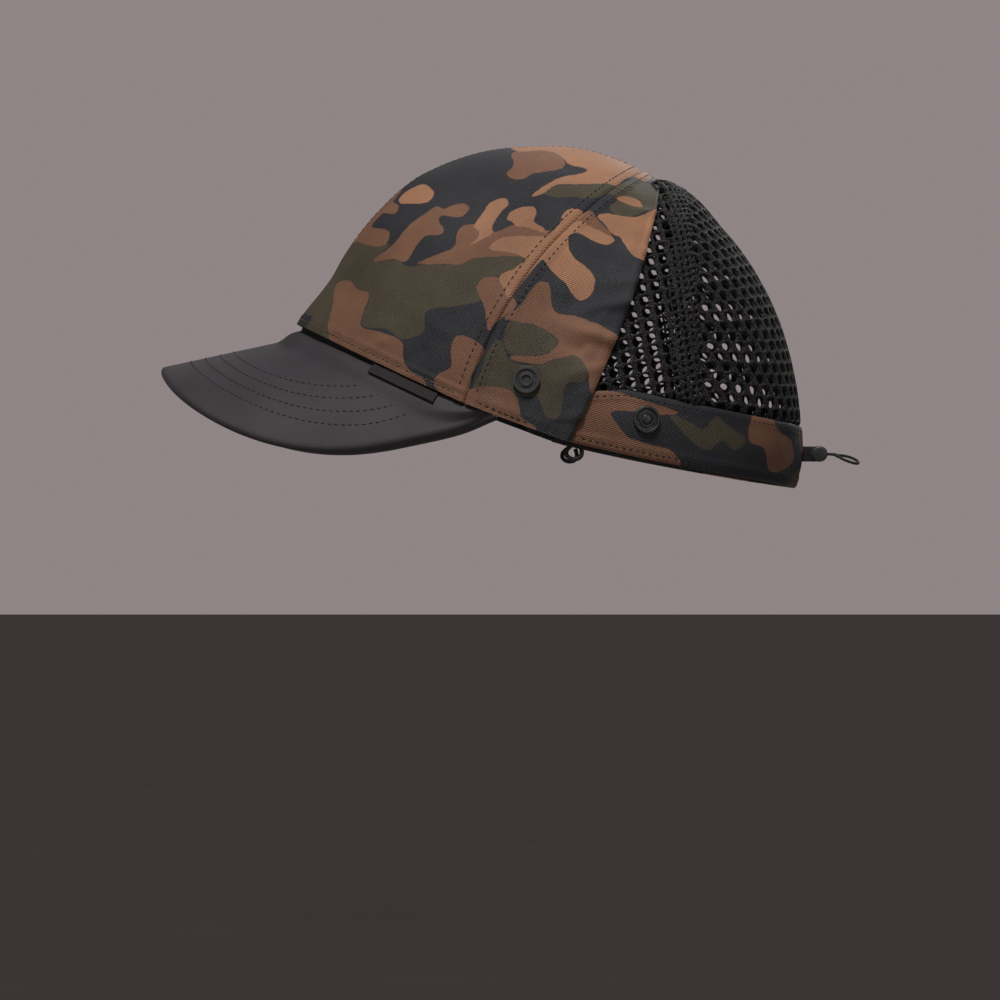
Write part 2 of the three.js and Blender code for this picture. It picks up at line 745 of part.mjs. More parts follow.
function barrel(radius, y0, y1, segments = 28) {
  const geometry = new THREE.CylinderGeometry(radius, radius, y1 - y0, segments);
  return geometry.translate(LOCK_BARREL.x, (y0 + y1) / 2, 0);
}

const channelHalfWidth = CORD_SPACING / 2 + CORD / 2 + FIT;
const channelHalfHeight = CORD / 2 + FIT;

function cordChannel(y0, y1) {
  return block(-2, 14, y0, y1, -channelHalfHeight, channelHalfHeight);
}

function lockBody() {
  const { front, halfHeight, left, right } = LOCK_BLOCK;
  const boreEnd = LOCK_BARREL.right - LOCK_END_WALL;
  const body = toManifold(block(front, LOCK_BARREL.x, left, right, -halfHeight, halfHeight))
    .add(toManifold(barrel(LOCK_BARREL.radius, LOCK_BARREL.left, LOCK_BARREL.right)))
    .subtract(toManifold(barrel(LOCK_BORE, LOCK_BARREL.left - 1, boreEnd)))
    .subtract(toManifold(cordChannel(-channelHalfWidth, channelHalfWidth)));
  return fromManifold(body);
}

const stemRadius = LOCK_BORE - FIT;
const buttonFace = LOCK_BARREL.left - BUTTON_TRAVEL - FIT;
const stemEnd = LOCK_BARREL.right - LOCK_END_WALL - BUTTON_TRAVEL - 0.3;

function lockButton() {
  const cap = lathe([
    [0, 0], [BUTTON_RADIUS, 0], [BUTTON_RADIUS, 0.9], [BUTTON_RADIUS - 0.35, BUTTON_CAP - 0.15],
    [BUTTON_RADIUS - 0.9, BUTTON_CAP], [0, BUTTON_CAP],
  ], 28);
  cap.rotateZ(Math.PI).translate(LOCK_BARREL.x, buttonFace, 0);
  const button = toManifold(cap)
    .add(toManifold(barrel(stemRadius, buttonFace - 0.4, stemEnd)))
    .subtract(toManifold(barrel(SPRING_POCKET.radius, SPRING_POCKET.start, stemEnd + 1)))
    .subtract(toManifold(cordChannel(-channelHalfWidth - BUTTON_TRAVEL, channelHalfWidth)));
  return fromManifold(button);
}

function lockSpring() {
  const y0 = SPRING_POCKET.start + SPRING_WIRE / 2 + 0.2;
  const y1 = LOCK_BARREL.right - LOCK_END_WALL - SPRING_WIRE / 2 - 0.2;
  const radius = SPRING_POCKET.radius - SPRING_WIRE / 2 - 0.15;
  const points = [];
  for (let i = 0; i <= SPRING_TURNS * 12; i += 1) {
    const turn = (i / 12) * 2 * Math.PI;
    const y = lerp(y0, y1, i / (SPRING_TURNS * 12));
    points.push(new THREE.Vector3(LOCK_BARREL.x + radius * Math.cos(turn), y, radius * Math.sin(turn)));
  }
  return cordAlong(points, SPRING_WIRE, SPRING_TURNS * 12, 5);
}

// The slot in the band's cloth that the cord comes out of
function cutCordSlot(geometry) {
  const slotHalfWidth = channelHalfWidth + 0.2;
  const slot = block(-8, 4, -slotHalfWidth, slotHalfWidth, -channelHalfHeight, channelHalfHeight);
  slot.translate(cordExit.x, cordExit.y, cordExit.z);
  slot.applyMatrix4(crownFrame.matrixWorld.clone().invert());
  return fromManifold(toManifold(geometry).subtract(toManifold(slot)));
}

// ---------------------------------------------------------------- assembly

const cap = new THREE.Group();
cap.add(crownFrame, visorFrame, lockFrame);

for (const [hand, side] of sides) {
  crownFrame.add(mesh(`front_panel_${hand}`, frontPanel(side), CAMO));
  crownFrame.add(mesh(`side_panel_${hand}`, punch(sidePanel(side), SNAP_SPOTS.side, side), CAMO_DARK));
  crownFrame.add(mesh(`mesh_side_${hand}`, meshSide(side), BLACK_MESH));
  crownFrame.add(mesh(`mesh_strip_${hand}`, meshStrip(side), BLACK_MESH));
  crownFrame.add(mesh(`side_seam_tape_${hand}`, sideSeamTape(side), BLACK_TAPE));
  crownFrame.add(mesh(`ear_loop_${hand}`, earLoop(side), CORD_BLACK));
  crownFrame.add(mesh(`drawcord_${hand}`, casingCord(side), CORD_BLACK));
  addSnap('side', hand, side);
  addSnap('band', hand, side);
}

crownFrame.add(mesh('mesh_back', meshBack(), BLACK_MESH));
crownFrame.add(mesh('centre_seam_tape', centreSeamTape(), BLACK_TAPE));
crownFrame.add(mesh('inner_band_front', innerFrontBand(), BLACK_CLOTH));
crownFrame.add(mesh('sweatband', sweatband(), BLACK_CLOTH));
crownFrame.add(mesh('rear_band_lining', rearBandLining(), BLACK_CLOTH));
crownFrame.add(mesh('pull_tab', pullTab(), BLACK_TAPE));

let bandCloth = rearBandCloth();
for (const [, side] of sides) bandCloth = punch(bandCloth, SNAP_SPOTS.band, side);
crownFrame.add(mesh('rear_band', cutCordSlot(bandCloth), CAMO));

const boardTop = COVER + LAYER_GAP;
const underTop = boardTop + VISOR_BOARD + LAYER_GAP;
visorFrame.add(mesh('visor_top_cover', visorLayer(0, COVER, 0, 1, 36), BLACK_CLOTH));
visorFrame.add(mesh('visor_board', visorLayer(boardTop, VISOR_BOARD, 0.05, 0.965, 36), BOARD));
visorFrame.add(mesh('visor_under_cover', visorLayer(underTop, COVER, 0, 1, 36), BLACK_CLOTH));

lockFrame.add(mesh('drawcord_tail', cordTail(), CORD_BLACK));
lockFrame.add(mesh('cord_lock_body', lockBody(), LOCK_RESIN));
lockFrame.add(mesh('cord_lock_button', lockButton(), LOCK_RESIN));
lockFrame.add(mesh('cord_lock_spring', lockSpring(), STEEL));

export default cap;
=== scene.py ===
# A camouflage field cap: its cloth, open mesh, visor, snaps, tapes and drawcord.
# Shapes are worked out in millimetres, as the CAD source does, and made in metres.
# The rim frame is the cap's own frame: its XY plane is the head opening, tipped down to the back.

import json
import math

import bpy
import numpy as np
from mathutils import Matrix, Vector

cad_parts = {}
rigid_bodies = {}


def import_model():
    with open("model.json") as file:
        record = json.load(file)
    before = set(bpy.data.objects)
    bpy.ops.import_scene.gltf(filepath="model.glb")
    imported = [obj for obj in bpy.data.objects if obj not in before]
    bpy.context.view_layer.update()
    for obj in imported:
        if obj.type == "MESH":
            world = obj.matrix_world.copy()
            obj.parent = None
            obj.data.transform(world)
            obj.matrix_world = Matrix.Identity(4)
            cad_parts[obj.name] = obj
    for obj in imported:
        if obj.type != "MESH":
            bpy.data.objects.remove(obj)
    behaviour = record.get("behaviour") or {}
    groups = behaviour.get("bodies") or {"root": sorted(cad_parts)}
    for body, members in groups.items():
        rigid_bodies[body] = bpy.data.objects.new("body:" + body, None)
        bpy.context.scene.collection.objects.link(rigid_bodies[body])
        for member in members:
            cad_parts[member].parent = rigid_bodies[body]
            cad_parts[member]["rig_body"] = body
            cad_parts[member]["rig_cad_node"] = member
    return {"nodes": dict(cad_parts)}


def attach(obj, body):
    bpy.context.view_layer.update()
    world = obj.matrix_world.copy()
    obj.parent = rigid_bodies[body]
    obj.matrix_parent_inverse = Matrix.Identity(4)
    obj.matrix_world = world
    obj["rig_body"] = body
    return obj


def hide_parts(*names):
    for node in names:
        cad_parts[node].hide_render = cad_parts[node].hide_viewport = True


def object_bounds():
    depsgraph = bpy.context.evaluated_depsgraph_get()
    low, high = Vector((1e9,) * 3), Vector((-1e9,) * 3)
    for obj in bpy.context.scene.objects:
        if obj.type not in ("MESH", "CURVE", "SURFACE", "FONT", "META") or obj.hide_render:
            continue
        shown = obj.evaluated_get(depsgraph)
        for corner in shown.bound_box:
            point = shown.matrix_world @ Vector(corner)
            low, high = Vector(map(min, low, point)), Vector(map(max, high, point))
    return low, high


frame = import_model()
cad_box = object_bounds()
nodes = frame["nodes"]

MM = 0.001
HANDS = {"left": -1, "right": 1}

# ---------------------------------------------------------------- camera

CAMERA_PLACE = (-0.0186, -2.5, -0.0374)
CAMERA_LENS = 225

camera_data = bpy.data.cameras.new("camera")
camera_data.lens = CAMERA_LENS
camera_data.sensor_width = 36
camera = bpy.data.objects.new("camera", camera_data)
camera.location = CAMERA_PLACE
camera.rotation_euler = (math.radians(90), 0, 0)
bpy.context.scene.collection.objects.link(camera)
bpy.context.scene.camera = camera

# ---------------------------------------------------------------- the cap's sizes, as in the CAD source

RIM_LENGTH = 209.2
RIM_WIDTH = 160.0
CROWN_HEIGHT = 102.4
CROWN_SQUARENESS = 2.1
FRONT_NARROWING = 0.08
RIM_TILT = math.radians(18.2)
HEM_DIP = 12.3
HEM_DIP_POWER = 1.35
HALF_LENGTH = RIM_LENGTH / 2
HALF_WIDTH = RIM_WIDTH / 2

# How full the centre line is against a plain ellipse, from the back (0) over the top to the front (180)
CROWN_FULLNESS = np.array([
    (-90, 1), (0, 1), (13, 0.977), (27, 0.958), (45, 0.958), (60, 0.97), (74, 0.983),
    (82, 0.981), (90, 0.998), (105, 1.01), (120, 1.014), (135, 1.012), (150, 0.985),
    (160, 0.965), (168, 0.957), (180, 1), (270, 1),
])

CLOTH = 0.6
MESH_THICKNESS = 2.4
LINING = 0.5
TAPE = 0.4
TAPE_HALF_WIDTH = 4
SEAM_FOOT = -0.1482 * RIM_LENGTH
SEAM_SWEEP = 0.1864 * RIM_LENGTH
SEAM_SWEEP_POWER = 2.3
PANEL_REAR = 0.0607 * RIM_LENGTH
PANEL_REAR_BOW = 5.5
PANEL_REAR_BOW_TURN = math.radians(153)
STRIP_FOOT = 0.2796 * RIM_LENGTH
STRIP_TOP = 0.0985 * RIM_LENGTH
STRIP_WIDTH = 12
STRIP_TOP_WIDTH = 9

BAND_WIDTH = 25
BAND_FRONT_DIP = 4.5
BAND_UNDERLAP = 6
CASING_DEPTH = 3
INNER_BAND_HEIGHT = 16
SWEATBAND_HEIGHT = 26
SWEATBAND_THICKNESS = 1

VISOR_ROOT = (-0.4751 * RIM_LENGTH, 0.1305 * RIM_LENGTH)
VISOR_SLOPE = math.radians(12.2)
VISOR_REACH = 56
VISOR_HALF_WIDTH = 0.4894 * RIM_WIDTH
VISOR_SIDE_FALL = 50.4
VISOR_RADIUS = (VISOR_HALF_WIDTH ** 2 + VISOR_SIDE_FALL ** 2) / (2 * VISOR_SIDE_FALL)
VISOR_OVAL_LENGTH = 96
VISOR_OVAL_POWER = 3
VISOR_TAIL = 0.3346 * RIM_LENGTH
VISOR_TAIL_HALF_WIDTH = VISOR_HALF_WIDTH - 2
VISOR_TAIL_DROOP = 5
VISOR_TAIL_TRIM = 0.5
VISOR_DEPTH = 3.4

SNAP_SPOTS = {"side": (-0.0511 * RIM_LENGTH, 6.1), "band": (0.1821 * RIM_LENGTH, 6.0)}
TAB_STATIONS = (-0.3327 * RIM_LENGTH, -0.2008 * RIM_LENGTH)
TAB_REACH = 4.4
EAR_LOOP_STATION = 0.0746 * RIM_LENGTH
EAR_LOOP_CORD = 1.8
CORD = 1.2
CORD_EXIT_LIFT = 14


# ---------------------------------------------------------------- curves and rows of points

def smoothstep(x, low, high):
    t = np.clip((np.asarray(x, float) - low) / (high - low), 0, 1)
    return t * t * (3 - 2 * t)


def lerp(a, b, share):
    return a + (b - a) * share


def bisect(low, high, too_high):
    """Halves the gap between low and high until too_high turns over. Works on numbers and arrays."""
    low = np.asarray(low, float)
    high = np.asarray(high, float)
    for _ in range(40):
        middle = (low + high) / 2
        over = too_high(middle)
        high = np.where(over, middle, high)
        low = np.where(over, low, middle)
    return (low + high) / 2


def unit(rows):
    return rows / np.maximum(np.linalg.norm(rows, axis=-1, keepdims=True), 1e-9)


def rows_of(x, y, z):
    return np.stack(np.broadcast_arrays(np.asarray(x, float), y, z), axis=-1)


def smooth_curve(points, steps, closed=False):
    """A centripetal Catmull-Rom curve through the points."""
    points = np.asarray(points, float)
    if closed:
        points = np.vstack([points[-1], points, points[:2]])
    else:
        points = np.vstack([2 * points[0] - points[1], points, 2 * points[-1] - points[-2]])
    made = []
    for p0, p1, p2, p3 in zip(points, points[1:], points[2:], points[3:]):
        gaps = [max(np.linalg.norm(b - a), 1e-6) ** 0.5 for a, b in ((p0, p1), (p1, p2), (p2, p3))]
        leave = (p1 - p0) / gaps[0] - (p2 - p0) / (gaps[0] + gaps[1]) + (p2 - p1) / gaps[1]
        arrive = (p2 - p1) / gaps[1] - (p3 - p1) / (gaps[1] + gaps[2]) + (p3 - p2) / gaps[2]
        for t in np.arange(steps) / steps:
            a = (2 * t ** 3 - 3 * t ** 2 + 1) * p1 + (t ** 3 - 2 * t ** 2 + t) * leave * gaps[1]
            made.append(a + (3 * t ** 2 - 2 * t ** 3) * p2 + (t ** 3 - t ** 2) * arrive * gaps[1])
    if not closed:
        made.append(points[-2])
    return np.array(made)


def along(points, wanted):
    """Points at these distances along a line of points."""
    walked = np.concatenate([[0], np.cumsum(np.linalg.norm(np.diff(points, axis=0), axis=1))])
    return np.stack([np.interp(wanted, walked, points[:, k]) for k in range(points.shape[1])], axis=-1)


def length_of(points):
    return float(np.linalg.norm(np.diff(points, axis=0), axis=1).sum())


# ---------------------------------------------------------------- the crown surface, in the rim frame

def fullness(angle):
    turns, values = CROWN_FULLNESS.T
    last = len(turns) - 2
    i = np.clip(np.searchsorted(turns, angle, side="right") - 1, 0, last)
    half = (turns[i + 1] - turns[i]) / 2
    before, after = np.maximum(i - 1, 0), np.minimum(i + 2, last + 1)
    first, final = i == 0, i == last
    value_before = np.where(first, values[i + 1], values[before])
    value_after = np.where(final, values[i], values[after])
    gap_before = np.where(first, -2 * half, turns[i] - turns[before])
    gap_after = np.where(final, -2 * half, turns[after] - turns[i + 1])
    lean_in, lean_out = half / gap_before, half / gap_after
    p = (angle - turns[i]) / (2 * half)
    made = value_before * lean_in * (-p ** 3 + 2 * p ** 2 - p)
    made += values[i] * ((1 + lean_in) * p ** 3 - (1.5 + 2 * lean_in) * p ** 2 + (lean_in - 0.5) * p + 1)
    made += values[i + 1] * (-(1 + lean_out) * p ** 3 + (1.5 + lean_out) * p ** 2 + 0.5 * p)
    return made + value_after * lean_out * (p ** 3 - p ** 2)


def crown_measure(p):
    """1 on the crown, less inside, more outside."""
    x, y, z = p[..., 0], p[..., 1], p[..., 2]
    angle = np.degrees(np.arctan2(z, x))
    angle = np.where(angle < -90, angle + 360, angle)
    turn = np.radians(angle)
    ellipse = 1 / np.hypot(np.cos(turn) / HALF_LENGTH, np.sin(turn) / CROWN_HEIGHT)
    forward = np.hypot(x, z) / (ellipse * fullness(angle))
    width = HALF_WIDTH * (1 + FRONT_NARROWING * x / np.maximum(np.linalg.norm(p, axis=-1), 1))
    sideways = np.abs(y) / width
    return (forward ** CROWN_SQUARENESS + sideways ** CROWN_SQUARENESS) ** (1 / CROWN_SQUARENESS)


def crown_normal(p):
    steps = np.eye(3) * 0.5
    return unit(np.stack([crown_measure(p + s) - crown_measure(p - s) for s in steps], axis=-1))


def on_crown(p, inset=0):
    """The crown point in the direction of p, moved in along the normal by inset."""
    spot = p / crown_measure(p)[..., None]
    return spot - crown_normal(spot) * np.asarray(inset, float)[..., None]


def side_point(x, z, side):
    """The crown point seen at station x and height z from the side."""
    x, z = np.broadcast_arrays(np.asarray(x, float), z)
    high = np.full(x.shape, HALF_WIDTH * 1.3)
    y = bisect(np.zeros(x.shape), high, lambda v: crown_measure(rows_of(x, v, z)) > 1)
    return rows_of(x, side * y, z)


def hem_height(x):
    share = np.minimum(np.abs(x) / HALF_LENGTH, 1)
    return -HEM_DIP * (1 - share ** HEM_DIP_POWER)


def rim_point(azimuth, lift):
    """A point lift above the hem. Azimuth 0 is the front, +90 the wearer's left, 180 the back."""
    turn = np.radians(azimuth)
    turn, lift = np.broadcast_arrays(turn, np.asarray(lift, float))
    p = rows_of(-HALF_LENGTH * np.cos(turn), -HALF_WIDTH * np.sin(turn), 0)
    for _ in range(6):
        p[..., 2] = hem_height(p[..., 0]) + lift
        p = on_crown(p)
    return p


def azimuth_of(station, lift=0):
    return bisect(0, 180, lambda azimuth: rim_point(azimuth, lift)[..., 0] > station)


def make_arch(station_of, foot_lift=lambda x: 0):
    """An arch from the hem over the top: station_of(z) is its line from the side, u is 0 to 1 at the top."""
    foot = bisect(-30, 60, lambda z: z > hem_height(station_of(z)) + foot_lift(station_of(z)))
    top = bisect(60, 140, lambda z: crown_measure(rows_of(station_of(z), 0, z)) > 1)

    def arch(u, side):
        z = lerp(foot, top, np.sin(np.asarray(u, float) * math.pi / 2))
        p = side_point(station_of(z), z, side)
        p[..., 1] = np.where(np.asarray(u) > 0.999, 0, p[..., 1])
        return p

    return arch


def across(a, b, share):
    """Moves along the crown from a to b."""
    share = np.asarray(share, float)[..., None]
    lengths = np.linalg.norm(a, axis=-1, keepdims=True) * np.linalg.norm(b, axis=-1, keepdims=True)
    angle = np.arccos(np.clip((a * b).sum(-1, keepdims=True) / lengths, -1, 1))
    small = angle < 0.01
    safe = np.where(small, 1, np.sin(angle))
    round_way = (a * np.sin((1 - share) * angle) + b * np.sin(share * angle)) / safe
    return np.where(small, lerp(a, b, share), round_way)


# ---------------------------------------------------------------- seam lines and edges

SEAM_HEIGHT = CROWN_HEIGHT - hem_height(SEAM_FOOT)


def seam_station(z):
    share = np.clip((z - hem_height(SEAM_FOOT)) / SEAM_HEIGHT, 0, 1.2)
    return SEAM_FOOT + SEAM_SWEEP * share ** SEAM_SWEEP_POWER


def panel_rear_station(z):
    share = np.clip((z - hem_height(PANEL_REAR)) / SEAM_HEIGHT, 0, 1.1)
    return PANEL_REAR + PANEL_REAR_BOW * np.sin(share * PANEL_REAR_BOW_TURN)


def strip_middle(z):
    return lerp(STRIP_FOOT, STRIP_TOP, z / CROWN_HEIGHT)


def strip_half_width(z):
    return lerp(STRIP_WIDTH, STRIP_TOP_WIDTH, smoothstep(z, 20, 100)) / 2


def band_width(x):
    return BAND_WIDTH - BAND_FRONT_DIP * np.clip((28 - x) / 16, 0, 1)


def mesh_rise(z):
    return 2 * smoothstep(z, 89, 98)


def lift_of(p):
    return p[..., 2] - hem_height(p[..., 0])


# ---------------------------------------------------------------- frames and flat patterns

def rim_to_part(p):
    x, y, z = p[..., 0], p[..., 1], p[..., 2]
    c, s = math.cos(RIM_TILT), math.sin(RIM_TILT)
    return rows_of(x * c + z * s, y, z * c - x * s)


def part_to_rim(p):
    x, y, z = p[..., 0], p[..., 1], p[..., 2]
    c, s = math.cos(RIM_TILT), math.sin(RIM_TILT)
    return rows_of(x * c - z * s, y, z * c + x * s)


def visor_to_part(p):
    x, y, z = p[..., 0], p[..., 1], p[..., 2]
    c, s = math.cos(VISOR_SLOPE), math.sin(VISOR_SLOPE)
    return rows_of(x * c - z * s + VISOR_ROOT[0], y, z * c + x * s + VISOR_ROOT[1])


def part_to_visor(p):
    x, y, z = p[..., 0] - VISOR_ROOT[0], p[..., 1], p[..., 2] - VISOR_ROOT[1]
    c, s = math.cos(VISOR_SLOPE), math.sin(VISOR_SLOPE)
    return rows_of(x * c + z * s, y, z * c - x * s)


# A flat pattern is the crown unrolled round a pole: its radius, and the ways that its two axes point
PATTERN_RADIUS = 92
# A flat pattern point stands for a direction: how far out it is put before it is moved to the crown
DIRECTION_REACH = 90
SIDE_PATTERNS = {
    "left": np.array([(0, -1, 0), (1, 0, 0), (0, 0, 1)], float),
    "right": np.array([(0, 1, 0), (1, 0, 0), (0, 0, 1)], float),
}
BACK_PATTERN = np.array([(1, 0, 0), (0, 1, 0), (0, 0, 1)], float)


def flatten(p, pattern):
    pole, east, north = pattern
    d = unit(p)
    flat = np.stack([d @ east, d @ north], axis=-1)
    theta = np.arccos(np.clip(d @ pole, -1, 1))
    return unit(flat) * (theta * PATTERN_RADIUS)[..., None]


def unflatten(q, pattern):
    pole, east, north = pattern
    theta = np.linalg.norm(q, axis=-1, keepdims=True) / PATTERN_RADIUS
    way = unit(q)
    level = way[..., :1] * east + way[..., 1:] * north
    return DIRECTION_REACH * (np.cos(theta) * pole + np.sin(theta) * level)


def seen_from_left(points):
    """Crown points at these places, given in the part's XZ plane as they show from the wearer's left."""
    x, z = np.asarray(points, float).T
    eye_x, eye_y, eye_z = (value / MM for value in CAMERA_PLACE)
    spot = part_to_rim(rows_of(x, 0, z))
    for _ in range(3):
        spot = side_point(spot[:, 0], spot[:, 2], -1)
        nearer = 1 - spot[:, 1] / eye_y
        spot = part_to_rim(rows_of(eye_x + (x - eye_x) * nearer, 0, eye_z + (z - eye_z) * nearer))
    return side_point(spot[:, 0], spot[:, 2], -1)


# ---------------------------------------------------------------- camouflage outlines

# Each patch is an outline in millimetres in the part's XZ plane
CROWN_PATCHES = {
    "green": [
        [(-77, 66), (-69, 64), (-62, 65), (-69, 59), (-59, 59), (-56, 56), (-47, 57), (-35, 57), (-28, 60),
         (-9, 59), (-16, 53), (-24, 52), (-28, 49), (-26, 43), (-37, 40), (-48, 38), (-49, 30), (-58, 27),
         (-64, 31), (-73, 32), (-74, 36), (-71, 43), (-76, 47), (-83, 49), (-82, 56)],
        [(-91, 38), (-86, 46), (-84, 42), (-87, 34), (-86, 26), (-80, 22), (-89, 23), (-96, 31)],
        [(-1, 86), (4, 89), (11, 89), (23, 89), (27, 88), (24, 85), (19, 83), (11, 84), (3, 84)],
        [(24, 86), (30, 89), (37, 90), (46, 87), (45, 80), (37, 76), (28, 76), (25, 80), (28, 82)],
        [(-15, 34), (-8, 33), (-3, 32), (2, 29), (5, 25), (3, 23), (-2, 21), (-12, 20), (-16, 23), (-17, 28)],
        [(-19, 27), (-16, 20), (-11, 17), (-2, 17), (8, 20), (13, 20), (16, 15), (15, 10), (8, 9), (6, 0),
         (4, -5), (0, -4), (-4, 4), (-11, 4), (-14, 6), (-29, 7), (-26, 14), (-24, 21)],
    ],
    "brown": [
        [(-79, 67), (-73, 71), (-70, 75), (-66, 80), (-59, 80), (-60, 77), (-69, 76), (-70, 72), (-63, 70),
         (-63, 67), (-64, 65), (-69, 64), (-76, 66)],
        [(-69, 59), (-62, 64), (-54, 73), (-47, 78), (-44, 80), (-41, 79), (-36, 81), (-32, 81), (-31, 79),
         (-34, 76), (-43, 76), (-43, 74), (-41, 71), (-42, 69), (-48, 68), (-52, 64), (-56, 58), (-61, 59),
         (-69, 58)],
        [(-52, 57), (-46, 60), (-37, 64), (-36, 69), (-34, 72), (-29, 73), (-26, 71), (-20, 70), (-15, 72),
         (-9, 73), (-3, 71), (2, 69), (-6, 59), (-12, 60), (-21, 60), (-26, 60), (-31, 59), (-34, 57),
         (-39, 57), (-45, 57)],
        [(-84, 49), (-78, 50), (-76, 47), (-71, 45), (-72, 41), (-74, 36), (-74, 32), (-67, 30), (-58, 26),
         (-57, 18), (-54, 14), (-50, 12), (-47, 6), (-58, 9), (-73, 15), (-84, 23), (-87, 29), (-87, 34),
         (-85, 41)],
        [(-38, 24), (-36, 28), (-32, 28), (-25, 23), (-27, 18), (-30, 12), (-31, 6), (-33, 0), (-38, 2),
         (-43, 6), (-45, 10), (-43, 13), (-38, 16), (-38, 20)],
        [(-16, 93), (-14, 95), (-13, 97), (-14, 101), (-8, 103), (0, 102), (6, 100), (7, 96), (0, 94),
         (-6, 93), (-9, 91), (-14, 91)],
        [(-28, 48), (-26, 51), (-23, 52), (-18, 51), (-15, 46), (-12, 40), (-17, 36), (-20, 34), (-23, 30),
         (-24, 34), (-25, 40)],
        [(11, 75), (17, 78), (21, 74), (26, 68), (25, 66), (17, 71)],
        [(-17, 35), (-11, 40), (-5, 48), (-2, 50), (1, 49), (2, 42), (4, 38), (11, 37), (18, 34), (28, 27),
         (34, 20), (28, 9), (18, 5), (16, 14), (12, 20), (4, 19), (-3, 17), (-11, 18), (-16, 20), (0, 21),
         (5, 26), (-3, 32), (-11, 34)],
        [(-34, 5), (-30, 7), (-24, 8), (-16, 7), (-13, 5), (-11, 1), (-10, -4), (-3, -9), (-11, -9),
         (-26, -4), (-36, -1)],
    ],
    "tan": [
        [(-50, 89), (-47, 88), (-45, 85), (-47, 82), (-52, 81), (-58, 81), (-59, 83), (-56, 86)],
        [(-32, 65), (-28, 67), (-27, 70), (-29, 72), (-25, 78), (-23, 81), (-19, 83), (-16, 83), (-15, 81),
         (-18, 78), (-22, 71), (-21, 70), (-26, 67), (-30, 65)],
        [(-16, 75), (-14, 78), (-9, 80), (-5, 80), (-4, 78), (-5, 74), (-2, 72), (1, 69), (-6, 71), (-9, 72),
         (-12, 72), (-14, 74)],
        [(-23, 63), (-21, 66), (-16, 68), (-10, 68), (0, 67), (-3, 62), (-8, 59), (-12, 61), (-17, 62)],
        [(-19, 52), (-11, 56), (0, 67), (6, 74), (6, 76), (9, 79), (12, 79), (15, 77), (9, 72), (4, 65),
         (0, 60), (-3, 57), (-11, 48), (-15, 43), (-17, 47)],
        [(-6, 84), (-3, 87), (6, 92), (12, 93), (16, 94), (16, 95), (9, 97), (7, 99), (4, 101), (-3, 102.5),
         (-11, 102), (-14, 107), (0, 109), (20, 106), (34, 101), (42, 95), (39, 90), (34, 92), (27, 88),
         (23, 89), (12, 89), (4, 89), (-2, 85)],
        [(-1, 59), (3, 65), (12, 74), (17, 72), (27, 66), (25, 64), (20, 65), (13, 69), (9, 68), (9, 63),
         (11, 59), (16, 55), (19, 51), (18, 45), (14, 43), (10, 46), (8, 49), (2, 54)],
        [(20, 76), (23, 77), (30, 76), (36, 75), (46, 77), (45, 57), (37, 57), (32, 60), (30, 64), (29, 67),
         (26, 69), (23, 73)],
        [(28, 83), (32, 84), (37, 82), (38, 79), (34, 80)],
    ],
}

# Patches over the front, in millimetres on the left side's flat pattern
FRONT_PATCHES = {
    "green": [[(-118, 8), (-130, 6), (-146, 12), (-150, 34), (-140, 50), (-128, 46), (-120, 34), (-113, 24)],
              [(-122, -14), (-126, -4), (-138, -2), (-152, -8), (-152, -22), (-124, -24)]],
    "brown": [[(-112, 66), (-122, 60), (-136, 62), (-146, 74), (-134, 84), (-120, 90), (-108, 84)]],
    "tan": [[(-128, 54), (-138, 54), (-152, 58), (-152, 72), (-140, 68), (-130, 62)]],
}

# The band's patches: azimuth in degrees and height over the hem in millimetres
BAND_PATCHES = {
    "green": [
        [(115, 19), (119, 18), (124, 16), (126, 22), (130, 19), (136, 15), (133, 10), (129, 13), (126, 8),
         (120, 12)],
        [(160, -3), (163, 5), (169, 8), (176, 6), (181, 9), (187, 4), (186, -3)],
        [(206, 27), (208, 18), (214, 14), (221, 18), (228, 16), (233, 21), (232, 28)],
        [(244, -2), (247, 8), (254, 12), (262, 9), (268, 14), (276, 12), (277, 4), (268, -2)],
    ],
    "brown": [
        [(88, 7), (92, 12), (95, 21), (102, 23), (110, 22), (117, 20), (113, 18), (107, 17), (103, 15),
         (105, 11), (108, 7), (113, 6), (118, 5), (121, 0), (120, -4), (106, -4), (100, -1), (95, 1)],
        [(138, 27), (144, 28), (149, 21), (158, 18), (161, 11), (154, 6), (147, 5), (143, 13), (137, 15)],
        [(168, 28), (167, 20), (172, 14), (177, 17), (182, 22), (181, 28)],
        [(189, 12), (194, 16), (199, 13), (205, 8), (203, 1), (196, -3), (192, 2), (193, 8)],
        [(236, 15), (240, 20), (248, 21), (250, 17), (244, 14), (241, 8), (236, 6)],
    ],
    "tan": [
        [(215, 4), (219, 9), (226, 8), (231, 3), (228, -3), (218, -3)],
    ],
}
BAND_MM_PER_DEGREE = 1.55
PATCH_EDGE = 6.0
PATCH_STEPS = 5


